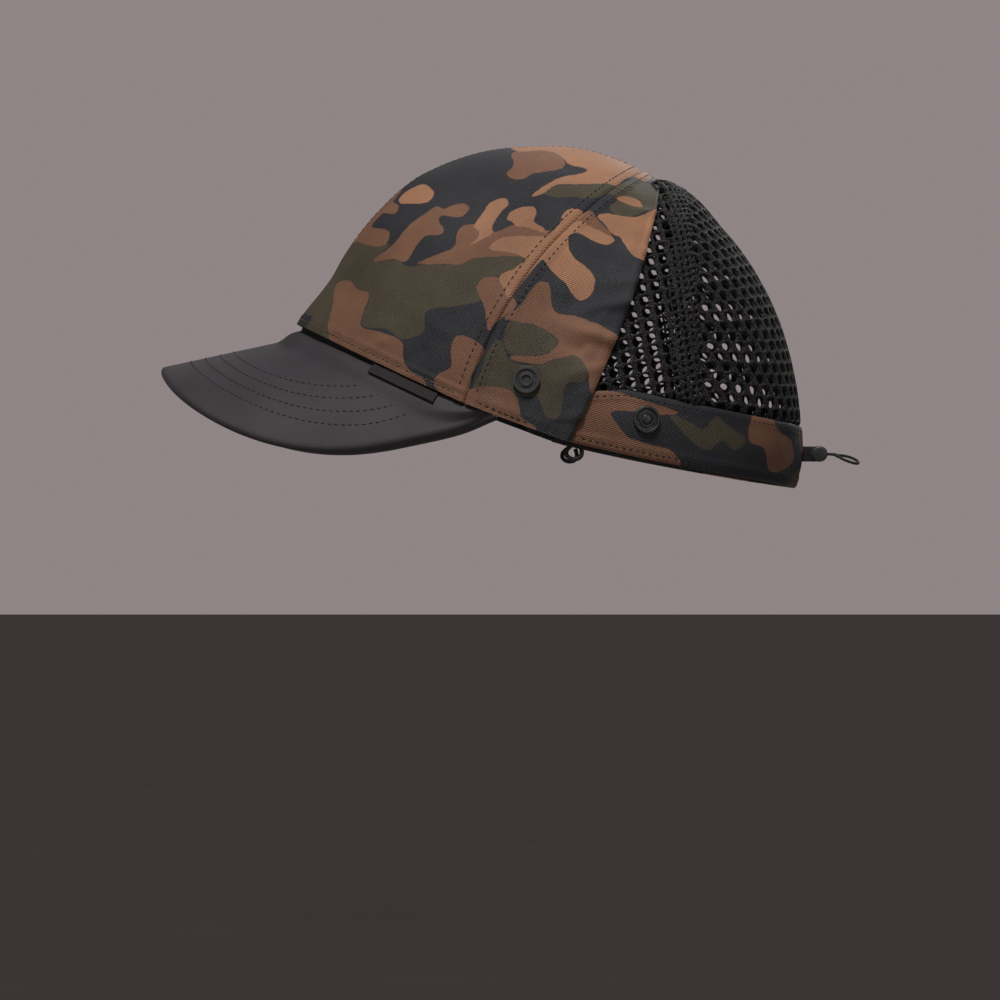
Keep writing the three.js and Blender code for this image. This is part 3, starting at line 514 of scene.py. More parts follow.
def signed_distance(spots, loop):
    """How far inside a closed outline each spot is, negative outside, up to PATCH_EDGE."""
    made = np.full(len(spots), -PATCH_EDGE)
    close = (spots > loop.min(0) - PATCH_EDGE).all(1) & (spots < loop.max(0) + PATCH_EDGE).all(1)
    if not close.any():
        return made
    q = spots[close][:, None]
    a, b = loop[None], np.roll(loop, -1, axis=0)[None]
    edge = b - a
    share = np.clip(((q - a) * edge).sum(-1) / np.maximum((edge * edge).sum(-1), 1e-9), 0, 1)
    distance = np.linalg.norm(q - a - edge * share[..., None], axis=-1).min(1)
    spans = (a[..., 1] > q[..., 1]) != (b[..., 1] > q[..., 1])
    rise = np.where(np.abs(edge[..., 1]) < 1e-9, 1e-9, edge[..., 1])
    before = q[..., 0] < a[..., 0] + edge[..., 0] * (q[..., 1] - a[..., 1]) / rise
    inside = (spans & before).sum(1) % 2 == 1
    made[close] = np.clip(np.where(inside, distance, -distance), -PATCH_EDGE, PATCH_EDGE)
    return made


def patch_distances(spots, loops):
    return {colour: np.max([signed_distance(spots, loop) for loop in rows], axis=0)
            for colour, rows in loops.items()}


def patch_loop(row):
    return smooth_curve(row, PATCH_STEPS, closed=True)


crown_loops = {
    colour: [patch_loop(flatten(seen_from_left(row), SIDE_PATTERNS["left"])) for row in rows]
    + [patch_loop(row) for row in FRONT_PATCHES[colour]]
    for colour, rows in CROWN_PATCHES.items()
}
band_loops = {
    colour: [patch_loop(np.asarray(row, float) * (BAND_MM_PER_DEGREE, 1)) for row in rows]
    for colour, rows in BAND_PATCHES.items()
}

# The right side is cut from the same cloth turned half round about this point of the flat pattern
RIGHT_TURN = np.array([-84.0, 130.0])


def crown_camouflage(p, hand):
    spots = flatten(p, SIDE_PATTERNS[hand])
    if hand == "right":
        spots = RIGHT_TURN - spots
    return patch_distances(spots, crown_loops)


def band_camouflage(azimuth, lift):
    return patch_distances(np.stack([azimuth * BAND_MM_PER_DEGREE, lift], axis=-1), band_loops)


# ---------------------------------------------------------------- materials

def new_material(name, colour, roughness, **sockets):
    """A material whose constant sockets are set on its shader. Returns the shader and the node helpers."""
    material = bpy.data.materials.new(name)
    material.use_nodes = True
    tree = material.node_tree
    shader = tree.nodes["Principled BSDF"]
    shader.inputs["Base Color"].default_value = (*colour, 1)
    shader.inputs["Roughness"].default_value = roughness
    for socket, value in sockets.items():
        shader.inputs[socket.replace("_", " ")].default_value = value
    return material, tree, shader


def add_node(tree, kind, links=(), **settings):
    """Adds a node. links are (socket name or number, value or source socket)."""
    node = tree.nodes.new(kind)
    for name, value in settings.items():
        setattr(node, name, value)
    for socket, value in links:
        if isinstance(value, bpy.types.NodeSocket):
            tree.links.new(value, node.inputs[socket])
        else:
            node.inputs[socket].default_value = value
    return node


def math_node(tree, operation, a, b=0.0, clamp=False):
    return add_node(tree, "ShaderNodeMath", [(0, a), (1, b)], operation=operation, use_clamp=clamp).outputs[0]


def mix_colours(tree, factor, a, b, blend="MIX"):
    node = add_node(tree, "ShaderNodeMix", data_type="RGBA", blend_type=blend)
    for socket, value in ((0, factor), (6, a), (7, b)):
        if isinstance(value, bpy.types.NodeSocket):
            tree.links.new(value, node.inputs[socket])
        else:
            node.inputs[socket].default_value = value
    return node.outputs[2]


def noise(tree, vector, scale, detail=2.0, roughness=0.5):
    links = [("Vector", vector), ("Scale", scale), ("Detail", detail), ("Roughness", roughness)]
    return add_node(tree, "ShaderNodeTexNoise", links).outputs["Fac"]


def ramp(tree, value, stops):
    node = add_node(tree, "ShaderNodeValToRGB", [(0, value)])
    elements = node.color_ramp.elements
    elements[0].position, elements[0].color = stops[0][0], (*[stops[0][1]] * 3, 1)
    elements[1].position, elements[1].color = stops[1][0], (*[stops[1][1]] * 3, 1)
    for place, grey in stops[2:]:
        elements.new(place).color = (grey, grey, grey, 1)
    return node.outputs[0]


def bump(tree, shader, height, strength, distance):
    links = [("Height", height), ("Strength", strength), ("Distance", distance)]
    node = add_node(tree, "ShaderNodeBump", links)
    tree.links.new(node.outputs[0], shader.inputs["Normal"])


def threads(tree, vector, pitch, lean, share=1.0):
    """Ribs of yarn across a flat pattern, pitch in millimetres, leaning by this many degrees."""
    turn = (0, 0, math.radians(lean))
    turned = add_node(tree, "ShaderNodeMapping", [("Vector", vector), ("Rotation", turn)])
    links = [("Vector", turned.outputs[0]), ("Scale", 1 / (pitch * MM * 3.18)), ("Distortion", share * 0.6),
             ("Detail", 1.0), ("Detail Scale", 2.0)]
    return add_node(tree, "ShaderNodeTexWave", links, wave_type="BANDS", bands_direction="X").outputs["Fac"]


def coordinates(tree, kind="Object"):
    return add_node(tree, "ShaderNodeTexCoord").outputs[kind]


def camouflage_material():
    navy, green = (0.017, 0.017, 0.021, 1), (0.054, 0.044, 0.026, 1)
    brown, tan = (0.158, 0.074, 0.042, 1), (0.285, 0.140, 0.076, 1)
    material, tree, shader = new_material("camouflage_twill", navy[:3], 0.68, Sheen_Weight=0.05,
                                          Sheen_Roughness=0.4, Specular_IOR_Level=0.3)
    flat, solid = coordinates(tree, "UV"), coordinates(tree)
    wobble = math_node(tree, "MULTIPLY", math_node(tree, "SUBTRACT", noise(tree, solid, 420, 3), 0.5), 0.9)
    colour = navy
    for name, value in (("green", green), ("brown", brown), ("tan", tan)):
        depth = add_node(tree, "ShaderNodeAttribute", attribute_name=f"camo_{name}").outputs["Fac"]
        ragged = math_node(tree, "ADD", depth, wobble)
        inside = math_node(tree, "ADD", math_node(tree, "MULTIPLY", ragged, 3.0), 0.5)
        colour = mix_colours(tree, math_node(tree, "MAXIMUM", inside, 0.0, clamp=True), colour, value)
    fade = ramp(tree, noise(tree, solid, 34, 4, 0.6), [(0.3, 0.78), (0.7, 1.16)])
    colour = mix_colours(tree, 1.0, colour, fade, "MULTIPLY")
    twill = threads(tree, flat, 0.80, 52, 2.2)
    weft = threads(tree, flat, 0.50, -30, 2.6)
    weave = math_node(tree, "ADD", twill, math_node(tree, "MULTIPLY", weft, 0.4))
    # Painted shade and highlight: the weave, which is also the bump height, darkens the colour in the valleys
    # between yarns and lightens it on the raised yarns.
    painted_weave_shade = ramp(tree, weave, [(0.15, 0.84), (1.0, 1.10)])
    colour = mix_colours(tree, 1.0, colour, painted_weave_shade, "MULTIPLY")
    fluff = ramp(tree, noise(tree, solid, 2600, 2, 0.7), [(0.62, 0.0), (0.85, 0.16)])
    colour = mix_colours(tree, 1.0, colour, fluff, "ADD")
    tree.links.new(colour, shader.inputs["Base Color"])
    worn = ramp(tree, noise(tree, solid, 55, 3), [(0.35, 0.60), (0.65, 0.76)])
    tree.links.new(worn, shader.inputs["Roughness"])
    creases = math_node(tree, "MULTIPLY", noise(tree, solid, 120, 3, 0.55), 1.4)
    bump(tree, shader, math_node(tree, "ADD", weave, creases), 0.55, 0.00022)
    return material


def woven_material(name, colour, pitch, roughness, strength, lean=0.0, speck=0.05, sheen=0.04, kind="UV"):
    """Plain-woven cloth or tape: crossed yarns with painted shade between them and painted highlight on them,
    soft colour changes and a few pale fibres.
    """
    material, tree, shader = new_material(name, colour, roughness, Sheen_Weight=sheen, Sheen_Roughness=0.4,
                                          Specular_IOR_Level=0.28)
    flat, solid = coordinates(tree, kind), coordinates(tree)
    warp = threads(tree, flat, pitch, lean)
    weft = threads(tree, flat, pitch, lean + 90)
    weave = math_node(tree, "MAXIMUM", warp, weft)
    # Painted shade and highlight: the weave, which is also the bump height, darkens the colour between the
    # yarns and lightens it on the raised yarns.
    tone = mix_colours(tree, 1.0, (*colour, 1), ramp(tree, weave, [(0.2, 0.7), (1.0, 1.15)]), "MULTIPLY")
    patches = ramp(tree, noise(tree, solid, 40, 4, 0.6), [(0.3, 0.82), (0.7, 1.18)])
    tone = mix_colours(tree, 1.0, tone, patches, "MULTIPLY")
    lint = ramp(tree, noise(tree, solid, 3200, 2, 0.8), [(0.66, 0.0), (0.9, speck)])
    tree.links.new(mix_colours(tree, 1.0, tone, lint, "ADD"), shader.inputs["Base Color"])
    soft = math_node(tree, "MULTIPLY", noise(tree, solid, 90, 3), 0.8)
    bump(tree, shader, math_node(tree, "ADD", weave, soft), strength, 0.0002)
    return material


def knitted_material(name, colour, scale, strength, speck):
    """Spacer-mesh yarn or towelling: small loops with painted highlight on their tops and painted shade
    between them, and pale specks painted in as glints.
    """
    material, tree, shader = new_material(name, colour, 0.82, Sheen_Weight=0.02, Sheen_Roughness=0.5,
                                          Specular_IOR_Level=0.2)
    solid = coordinates(tree)
    loops = add_node(tree, "ShaderNodeTexVoronoi", [("Vector", solid), ("Scale", scale)]).outputs["Distance"]
    fibre = noise(tree, solid, scale * 2.4, 3, 0.7)
    # Painted highlight and shade: the colour is lighter at each loop's centre, its highest point, and darker
    # between the loops.
    tone = mix_colours(tree, 1.0, (*colour, 1), ramp(tree, loops, [(0.0, 1.7), (0.7, 0.45)]), "MULTIPLY")
    # Painted glints: pale specks added to the colour where the fibre noise is high.
    ends = ramp(tree, fibre, [(0.54, 0.0), (0.68, speck)])
    tree.links.new(mix_colours(tree, 1.0, tone, ends, "ADD"), shader.inputs["Base Color"])
    tree.links.new(ramp(tree, fibre, [(0.4, 0.9), (0.75, 0.5)]), shader.inputs["Roughness"])
    height = math_node(tree, "SUBTRACT", math_node(tree, "MULTIPLY", fibre, 0.6), loops)
    bump(tree, shader, height, strength, 0.0004)
    return material


def braided_material(name, colour, strands):
    """Braided cord: the mesh's UV runs along the cord in metres, and once round it."""
    material, tree, shader = new_material(name, colour, 0.7, Sheen_Weight=0.05, Specular_IOR_Level=0.3)
    split = add_node(tree, "ShaderNodeSeparateXYZ", [(0, coordinates(tree, "UV"))])
    length = math_node(tree, "MULTIPLY", split.outputs[0], 3800.0)
    turn = math_node(tree, "MULTIPLY", split.outputs[1], 2 * math.pi * strands)
    over = math_node(tree, "SINE", math_node(tree, "ADD", length, turn))
    under = math_node(tree, "SINE", math_node(tree, "SUBTRACT", length, turn))
    braid = math_node(tree, "MAXIMUM", over, under)
    # Painted shade and highlight: the colour is darker in the grooves of the braid and lighter on its raised
    # strands, following the bump height.
    tone = mix_colours(tree, 1.0, (*colour, 1), ramp(tree, braid, [(0.0, 0.5), (1.0, 1.5)]), "MULTIPLY")
    lint = ramp(tree, noise(tree, coordinates(tree), 3600, 2, 0.8), [(0.62, 0.0), (0.85, 0.10)])
    tree.links.new(mix_colours(tree, 1.0, tone, lint, "ADD"), shader.inputs["Base Color"])
    bump(tree, shader, braid, 0.6, 0.0001)
    return material


def resin_material(name, colour, roughness, grain):
    """Moulded resin: fine grain, a little dust in it and rubbed, paler edges."""
    material, tree, shader = new_material(name, colour, roughness, Specular_IOR_Level=0.5)
    solid = coordinates(tree)
    edges = add_node(tree, "ShaderNodeNewGeometry").outputs["Pointiness"]
    rubbed = ramp(tree, edges, [(0.52, 0.0), (0.62, 0.035)])
    dust = ramp(tree, noise(tree, solid, 900, 4, 0.7), [(0.56, 0.0), (0.8, 0.02)])
    tone = mix_colours(tree, 1.0, (*colour, 1), rubbed, "ADD")
    tree.links.new(mix_colours(tree, 1.0, tone, dust, "ADD"), shader.inputs["Base Color"])
    spread = [(0.3, roughness - 0.08), (0.7, roughness + 0.14)]
    tree.links.new(ramp(tree, noise(tree, solid, 400, 3), spread), shader.inputs["Roughness"])
    bump(tree, shader, noise(tree, solid, grain, 3), 0.25, 0.0001)
    return material


def metal_material():
    material, tree, shader = new_material("drawn_steel", (0.55, 0.55, 0.56), 0.3, Metallic=1.0)
    streaks = noise(tree, coordinates(tree), 2500, 2)
    tree.links.new(ramp(tree, streaks, [(0.3, 0.22), (0.7, 0.42)]), shader.inputs["Roughness"])
    return material


CAMOUFLAGE = camouflage_material()
VISOR_CLOTH = woven_material("visor_cloth", (0.029, 0.025, 0.030), 0.45, 0.6, 0.35, lean=8,
                             speck=0.03, sheen=0.06)
# Black cloth of the linings; on the inner front band it is also painted shade, black so the strip seen under
# the front hem reads as shadow.
LINING_BLACK_AND_SHADE = woven_material("black_cloth", (0.014, 0.014, 0.015), 0.4, 0.7, 0.35)
TAPE_WEAVE = woven_material("tape_weave", (0.011, 0.010, 0.010), 0.7, 0.72, 0.7, speck=0.04)
MESH_YARN = knitted_material("mesh_yarn", (0.0045, 0.0040, 0.0042), 1000, 1.0, 0.13)
TOWELLING = knitted_material("towelling", (0.030, 0.030, 0.031), 1100, 0.7, 0.05)
BRAID = braided_material("braided_cord", (0.010, 0.009, 0.009), 4)
THREAD = woven_material("black_thread", (0.006, 0.0055, 0.006), 0.2, 0.6, 0.3, kind="Object")
PALE_THREAD = woven_material("hem_thread", (0.110, 0.092, 0.070), 0.2, 0.6, 0.3, kind="Object")
SNAP_RESIN = resin_material("snap_resin", (0.006, 0.006, 0.007), 0.42, 1500)
LOCK_RESIN = resin_material("lock_resin", (0.011, 0.011, 0.012), 0.5, 2400)
BOARD_RESIN = resin_material("board_resin", (0.62, 0.62, 0.60), 0.5, 700)
STEEL = metal_material()


# ---------------------------------------------------------------- making pieces

def only(piece):
    bpy.ops.object.select_all(action="DESELECT")
    piece.select_set(True)
    bpy.context.view_layer.objects.active = piece


def edit(piece, *steps):
    """Runs operators on the whole piece in edit mode."""
    only(piece)
    bpy.ops.object.mode_set(mode="EDIT")
    bpy.ops.mesh.select_all(action="SELECT")
    for step in steps:
        step()
    bpy.ops.object.mode_set(mode="OBJECT")


def apply_modifier(piece, kind, **settings):
    only(piece)
    modifier = piece.modifiers.new(kind.lower(), kind)
    for name, value in settings.items():
        setattr(modifier, name, value)
    bpy.ops.object.modifier_apply(modifier=modifier.name)


def smooth(piece, degrees=50):
    only(piece)
    bpy.ops.object.shade_smooth_by_angle(angle=math.radians(degrees))


def dress(piece, name, material, body="cap", replaced=()):
    piece.name = name
    piece.data.name = name
    piece.data.materials.clear()
    piece.data.materials.append(material)
    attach(piece, body)
    if replaced:
        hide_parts(*replaced)
    return piece


def mesh_from(name, vertices, faces):
    """A new object from rows of part-frame millimetres."""
    mesh = bpy.data.meshes.new(name)
    mesh.from_pydata((np.asarray(vertices) * MM).tolist(), [], [list(map(int, face)) for face in faces])
    piece = bpy.data.objects.new(name, mesh)
    bpy.context.scene.collection.objects.link(piece)
    return piece


def vertex_rows(piece):
    rows = np.zeros(len(piece.data.vertices) * 3)
    piece.data.vertices.foreach_get("co", rows)
    return rows.reshape(-1, 3)


def set_vertex_rows(piece, rows):
    piece.data.vertices.foreach_set("co", np.asarray(rows, np.float32).ravel())
    piece.data.update()


def set_attribute(piece, name, values):
    attribute = piece.data.attributes.new(name, "FLOAT", "POINT")
    attribute.data.foreach_set("value", np.asarray(values, np.float32))


def set_uv(piece, flat):
    """Writes a flat pattern, in metres, as the piece's UV."""
    layer = piece.data.uv_layers.active or piece.data.uv_layers.new(name="pattern")
    corners = np.zeros(len(piece.data.loops), int)
    piece.data.loops.foreach_get("vertex_index", corners)
    layer.data.foreach_set("uv", (flat[corners] * MM).astype(np.float32).ravel())


def face_out(piece, centre=(0.0, 0.0, 0.0)):
    """Turns an open sheet so that its faces look away from a point inside the cap."""
    face = piece.data.polygons[len(piece.data.polygons) // 2]
    if face.normal.dot(face.center - Vector(centre)) < 0:
        edit(piece, bpy.ops.mesh.flip_normals)


def sheet_area(piece):
    return sum(face.area for face in piece.data.polygons)


def cloth_piece(name, columns, rows, thickness, place, uv_of, colours_of=None):
    """A bent sheet with thickness. place(u, v) gives rim-frame millimetres on its outer face."""
    bpy.ops.object.select_all(action="DESELECT")
    bpy.ops.mesh.primitive_grid_add(x_subdivisions=columns, y_subdivisions=rows, size=1)
    piece = bpy.context.active_object
    piece.name = name
    square = vertex_rows(piece)
    u, v = square[:, 0] + 0.5, square[:, 1] + 0.5
    spots = place(np.clip(u, 0, 1), np.clip(v, 0, 1))
    set_vertex_rows(piece, rim_to_part(spots) * MM)
    set_uv(piece, uv_of(spots, u, v))
    if colours_of is not None:
        for colour, depth in colours_of(spots, u, v).items():
            set_attribute(piece, f"camo_{colour}", depth)
    face_out(piece)
    piece["flat_area"] = sheet_area(piece)
    apply_modifier(piece, "SOLIDIFY", thickness=thickness * MM, offset=-1, use_even_offset=True)
    smooth(piece)
    return piece


def declare_cloth(piece):
    """Removes the working flat_area property from a cut of cloth."""
    del piece["flat_area"]
    return piece


# ---------------------------------------------------------------- stitches

STITCH_PITCH = 2.7
STITCH_LENGTH = 2.0
STITCH_WIDTH = 0.42


def stitch_shape():
    """One stitch: a fat thread whose two ends sink into the cloth."""
    bpy.ops.object.select_all(action="DESELECT")
    bpy.ops.mesh.primitive_uv_sphere_add(segments=8, ring_count=6, radius=0.5)
    piece = bpy.context.active_object
    bpy.ops.object.mode_set(mode="EDIT")
    bpy.ops.transform.rotate(value=math.radians(90), orient_axis="Y", center_override=(0, 0, 0))
    bpy.ops.transform.resize(value=(STITCH_LENGTH, STITCH_WIDTH, STITCH_WIDTH), center_override=(0, 0, 0))
    bpy.ops.object.mode_set(mode="OBJECT")
    rows = vertex_rows(piece)
    rows[:, 2] -= 0.28 * (2 * rows[:, 0] / STITCH_LENGTH) ** 2 - 0.10
    faces = [list(face.vertices) for face in piece.data.polygons]
    bpy.data.objects.remove(piece)
    return rows, faces


STITCH_ROWS, STITCH_FACES = stitch_shape()


def stitched(name, lines, material, body="cap", pitch=STITCH_PITCH):
    """Rows of stitches. Each line is (points, normals) in part-frame millimetres."""
    vertices, faces = [], []
    for points, normals in lines:
        total = length_of(points)
        places = np.arange(pitch / 2, total, pitch)
        if len(places) < 2:
            continue
        centres = along(points, places)
        ahead, behind = np.minimum(places + 0.4, total), np.maximum(places - 0.4, 0)
        ways = unit(along(points, ahead) - along(points, behind))
        walked = np.concatenate([[0], np.cumsum(np.linalg.norm(np.diff(points, axis=0), axis=1))])
        ups = unit(np.stack([np.interp(places, walked, normals[:, k]) for k in range(3)], axis=-1))
        sides = unit(np.cross(ups, ways))
        ups = np.cross(ways, sides)
        for centre, way, side, up in zip(centres, ways, sides, ups):
            start = len(vertices) * len(STITCH_ROWS)
            turned = STITCH_ROWS @ np.array([way, side, up])
            vertices.append(turned + centre)
            faces.extend([[start + i for i in face] for face in STITCH_FACES])
    piece = mesh_from(name, np.vstack(vertices), faces)
    smooth(piece, 80)
    return dress(piece, name, material, body)


def crown_line(spots, inset):
    """A stitch line on the crown: rim-frame spots to part-frame points and normals."""
    normals = crown_normal(on_crown(spots))
    placed = on_crown(spots, inset)
    lifted = rim_to_part(placed)
    return lifted, rim_to_part(normals)


# ---------------------------------------------------------------- relief in the camouflage cloth

# Soft folds of the side panel: start and end in the part's XZ plane, height, half width
FOLDS = [
    ((4, 60), (34, 56), 1.6, 11.0),
    ((-8, 42), (16, 38), -1.9, 8.0),
    ((3, 35), (27, 26), 2.6, 3.2),
    ((2, 27), (22, 19), -1.8, 3.0),
    ((10, 38), (34, 41), 2.0, 2.8),
    ((12, 33), (31, 33.5), -1.4, 2.4),
    ((26, 64), (42, 60), 1.5, 2.4),
    ((24, 58), (39, 54), -0.6, 2.6),
    ((30, 79), (45, 76), 1.2, 2.4),
    ((30, 73), (45, 70), -0.5, 2.4),
    ((20, 50), (37, 49), 0.8, 2.6),
    ((4, 10), (23, 17), 1.1, 3.0),
    ((6, 2), (18, 6), -1.0, 3.0),
    ((-4, -6), (14, -4), 0.8, 2.4),
    ((-24, 2), (-8, -4), 0.5, 2.0),
    ((-70, 70), (-52, 84), 0.4, 3.5),
    ((-80, 20), (-66, 26), 0.6, 3.0),
    ((-64, 12), (-50, 22), -0.6, 3.0),
    ((-56, 40), (-40, 30), 0.4, 4.0),
]
fold_lines = [
    (flatten(seen_from_left([start, end]), SIDE_PATTERNS["left"]), height, width)
    for start, end, height, width in FOLDS
]


def fold_rise(p, hand):
    spots = flatten(p, SIDE_PATTERNS[hand])
    rise = np.zeros(len(spots))
    for (start, end), height, width in fold_lines:
        way = end - start
        share = np.clip(((spots - start) @ way) / (way @ way), 0, 1)
        away = np.linalg.norm(spots - start - share[:, None] * way, axis=1)
        rise += height * np.exp(-(away / width) ** 2) * (0.25 + 0.75 * smoothstep(share, 0, 0.8))
    slack = np.sin(spots[:, 0] / 9.3 + 1.1) * np.sin(spots[:, 1] / 12.7 + 0.4)
    fine = np.sin(spots[:, 0] / 3.9 + spots[:, 1] / 6.1) * np.sin(spots[:, 1] / 4.7 - spots[:, 0] / 8.3)
    return rise + 0.30 * slack + 0.07 * fine


def seam_rise(p):
    """The pressed seam allowance each side of the seam, with a groove at the seam itself."""
    away = np.abs(p[:, 0] - seam_station(p[:, 2])) * 0.86
    allowance = 0.40 * (1 - smoothstep(away, 3.6, 4.9))
    groove = -0.75 * np.exp(-(away / 0.55) ** 2)
    pucker = 0.10 * np.sin(p[:, 2] * 2.2) * np.exp(-((away - 3.4) / 1.2) ** 2)
    return allowance + groove + pucker


def hem_rise(p):
    """The turned hem, puckered along its stitches."""
    lift = lift_of(p)
    turned = 0.40 * (1 - smoothstep(lift, 4.6, 5.6))
    stitch_groove = -0.25 * np.exp(-((lift - 2.4) / 0.7) ** 2)
    pucker = 0.12 * np.sin(p[:, 0] * 2.1 + p[:, 1] * 1.3) * np.exp(-((lift - 2.4) / 2.2) ** 2)
    return turned + stitch_groove + pucker


def crest_rise(p):
    """The crown's centre seam: two raised allowances with a groove between."""
    away = np.abs(p[:, 1])
    allowance = 0.35 * (1 - smoothstep(away, 3.8, 4.8))
    return allowance - 0.6 * np.exp(-(away / 0.6) ** 2)


# ---------------------------------------------------------------- drawcord, the first piece made

cord_exit = rim_to_part(rim_point(180, CORD_EXIT_LIFT))

# Half of the free loop: distance behind the band, half the spread, drop, as in the CAD source
TAIL_HALF = [
    (-1.6, 0.85, 0), (0, 0.85, 0), (4, 0.85, 0), (8, 0.85, 0), (11, 0.85, -0.05), (13.5, 0.88, -0.2),
    (15.5, 1.5, -0.9), (17.5, 2.4, -1.5), (19.5, 2.95, -2.1), (21.3, 2.75, -2.7), (22.7, 1.75, -3.2),
]
TAIL_TIP = (23.3, 0, -3.4)
TAIL_TWIST = math.radians(20)


def tail_point(row, side):
    x, spread, drop = row
    twist = TAIL_TWIST * float(smoothstep(x, 11, 18))
    return np.array([x, side * spread * math.cos(twist), drop + side * spread * math.sin(twist)])


def cord_tube(name, points, diameter, strands=4, sides=14):
    """A braided cord along part-frame points, closed at both ends, with its strands in relief."""
    total = length_of(points)
    count = max(int(total / 0.22), 12)
    line = along(points, np.linspace(0, total, count))
    ways = unit(np.gradient(line, axis=0))
    up = unit(np.cross(ways[0], (0.3, 0.2, 1.0)))
    rings = []
    turns = np.arange(sides) / sides * 2 * math.pi
    for i, way in enumerate(ways):
        up = unit(up - way * (up @ way))
        other = np.cross(way, up)
        walked = i / (count - 1) * total * 3.8
        strand = np.maximum(np.sin(walked + strands * turns), np.sin(walked - strands * turns))
        radius = diameter / 2 * (0.93 + 0.07 * strand)
        spokes = np.cos(turns)[:, None] * up + np.sin(turns)[:, None] * other
        rings.append(line[i] + radius[:, None] * spokes)
    vertices = np.vstack([*rings, line[:1], line[-1:]])
    faces = []
    for i in range(count - 1):
        for k in range(sides):
            n = (k + 1) % sides
            faces.append((i * sides + k, i * sides + n, (i + 1) * sides + n, (i + 1) * sides + k))
    first, last, end = count * sides, count * sides + 1, (count - 1) * sides
    for k in range(sides):
        n = (k + 1) % sides
        faces.append((first, n, k))
        faces.append((last, end + k, end + n))
    piece = mesh_from(name, vertices, faces)
    layer = piece.data.uv_layers.new(name="braid")
    for face in piece.data.polygons:
        for corner in face.loop_indices:
            index = piece.data.loops[corner].vertex_index
            ring, k = min(index // sides, count - 1), index % sides
            turn = k / sides
            if turn == 0 and any(i % sides == sides - 1 for i in face.vertices):
                turn = 1.0
            layer.data[corner].uv = (ring / (count - 1) * total * MM, turn)
    smooth(piece, 70)
    return piece


near_half = [tail_point(row, -1) for row in TAIL_HALF]
far_half = [tail_point(row, 1) for row in reversed(TAIL_HALF)]
tail_route = smooth_curve([*near_half, tail_point(TAIL_TIP, 1), *far_half], 8) + cord_exit
tail = cord_tube("drawcord_loop", tail_route, CORD)
dress(tail, "drawcord_loop", BRAID, "cap", ["drawcord_tail"])

# ---------------------------------------------------------------- camouflage panels

seam_front = make_arch(lambda z: seam_station(z) - 0.1)
seam_rear = make_arch(lambda z: seam_station(z) + 0.1)
panel_rear = make_arch(panel_rear_station)
seam_foot_azimuth = azimuth_of(SEAM_FOOT - 0.1)


def camouflage_panel(name, hand, columns, rows, place):
    piece = cloth_piece(f"{name}_{hand}_cloth", columns, rows, CLOTH, place,
                        lambda p, u, v: flatten(p, SIDE_PATTERNS[hand]),
                        lambda p, u, v: crown_camouflage(p, hand))
    dress(piece, piece.name, CAMOUFLAGE, "cap", [f"{name}_{hand}"])
    return declare_cloth(piece)


def front_panel(hand, side):
    def place(u, v):
        hem = rim_point((1 - u) * seam_foot_azimuth, 0)
        hem[:, 1] *= -side
        p = on_crown(across(hem, seam_front(u, side), v))
        p[:, 1] = np.where(u > 0.999, side * 0.12, p[:, 1])
        return on_crown(p, -(fold_rise(p, hand) + seam_rise(p) + hem_rise(p) + crest_rise(p)))

    return camouflage_panel("front_panel", hand, 110, 92, place)


def panel_lap(v, z):
    return 1.2 * smoothstep(v, 0.5, 0.8) * (1 - smoothstep(z, 78, 92))


def free_edge(u, v):
    """The side panel's rear edge is turned under and ripples."""
    turned = 0.35 * smoothstep(v, 0.90, 0.93)
    ripple = 0.55 * np.sin(u * 21) * smoothstep(v, 0.8, 1) * (1 - smoothstep(u, 0.75, 0.95))
    curl = -0.7 * smoothstep(v, 0.975, 1.0)
    return turned + ripple + curl


def side_panel(hand, side):
    def place(u, v):
        p = on_crown(across(seam_rear(u, side), panel_rear(u, side), v))
        p[:, 1] = np.where(u > 0.999, side * 0.12, p[:, 1])
        folds = np.maximum(fold_rise(p, hand), lerp(-3, 0.1, smoothstep(v, 0.66, 0.82)))
        rise = folds + seam_rise(p) + hem_rise(p) + crest_rise(p)
        return on_crown(p, -(rise + panel_lap(v, p[:, 2]) + free_edge(u, v)))

    return camouflage_panel("side_panel", hand, 120, 56, place)


for hand, side in HANDS.items():
    front_panel(hand, side)
    side_panel(hand, side)

# ---------------------------------------------------------------- rear band

BAND_FRONT = PANEL_REAR - BAND_UNDERLAP
band_azimuth = float(azimuth_of(BAND_FRONT))


def band_relief(azimuth, lift, width):
    """Turned top edge, turned hem, a soft casing and gathers where the cord comes out."""
    top = 0.35 * smoothstep(lift, width - 4.2, width - 3.4) - 0.5 * smoothstep(lift, width - 0.7, width)
    hem = 0.40 * (1 - smoothstep(lift, 4.4, 5.2)) - 0.5 * (1 - smoothstep(lift, 0, 0.7))
    grooves = -0.22 * (np.exp(-((lift - 2.4) / 0.6) ** 2) + np.exp(-((lift - width + 2.2) / 0.6) ** 2))
    casing = 0.5 * np.sin(np.clip(lift / width, 0, 1) * math.pi)
    waves = 0.22 * np.sin(azimuth * 0.31) * np.sin(lift / 4.1 + azimuth * 0.11)
    near = np.exp(-((azimuth - 180) / 16) ** 2)
    gathers = 0.45 * near * np.sin((azimuth - 180) * 1.9) * np.sin(np.clip(lift / width, 0, 1) * math.pi)
    tuck = -0.8 * np.exp(-((azimuth - 180) / 2.6) ** 2) * np.exp(-((lift - CORD_EXIT_LIFT) / 3) ** 2)
    pucker = 0.08 * np.sin(azimuth * 3.4) * np.exp(-((lift - 2.4) / 2) ** 2)
    return top + hem + grooves + casing + waves + gathers + tuck + pucker


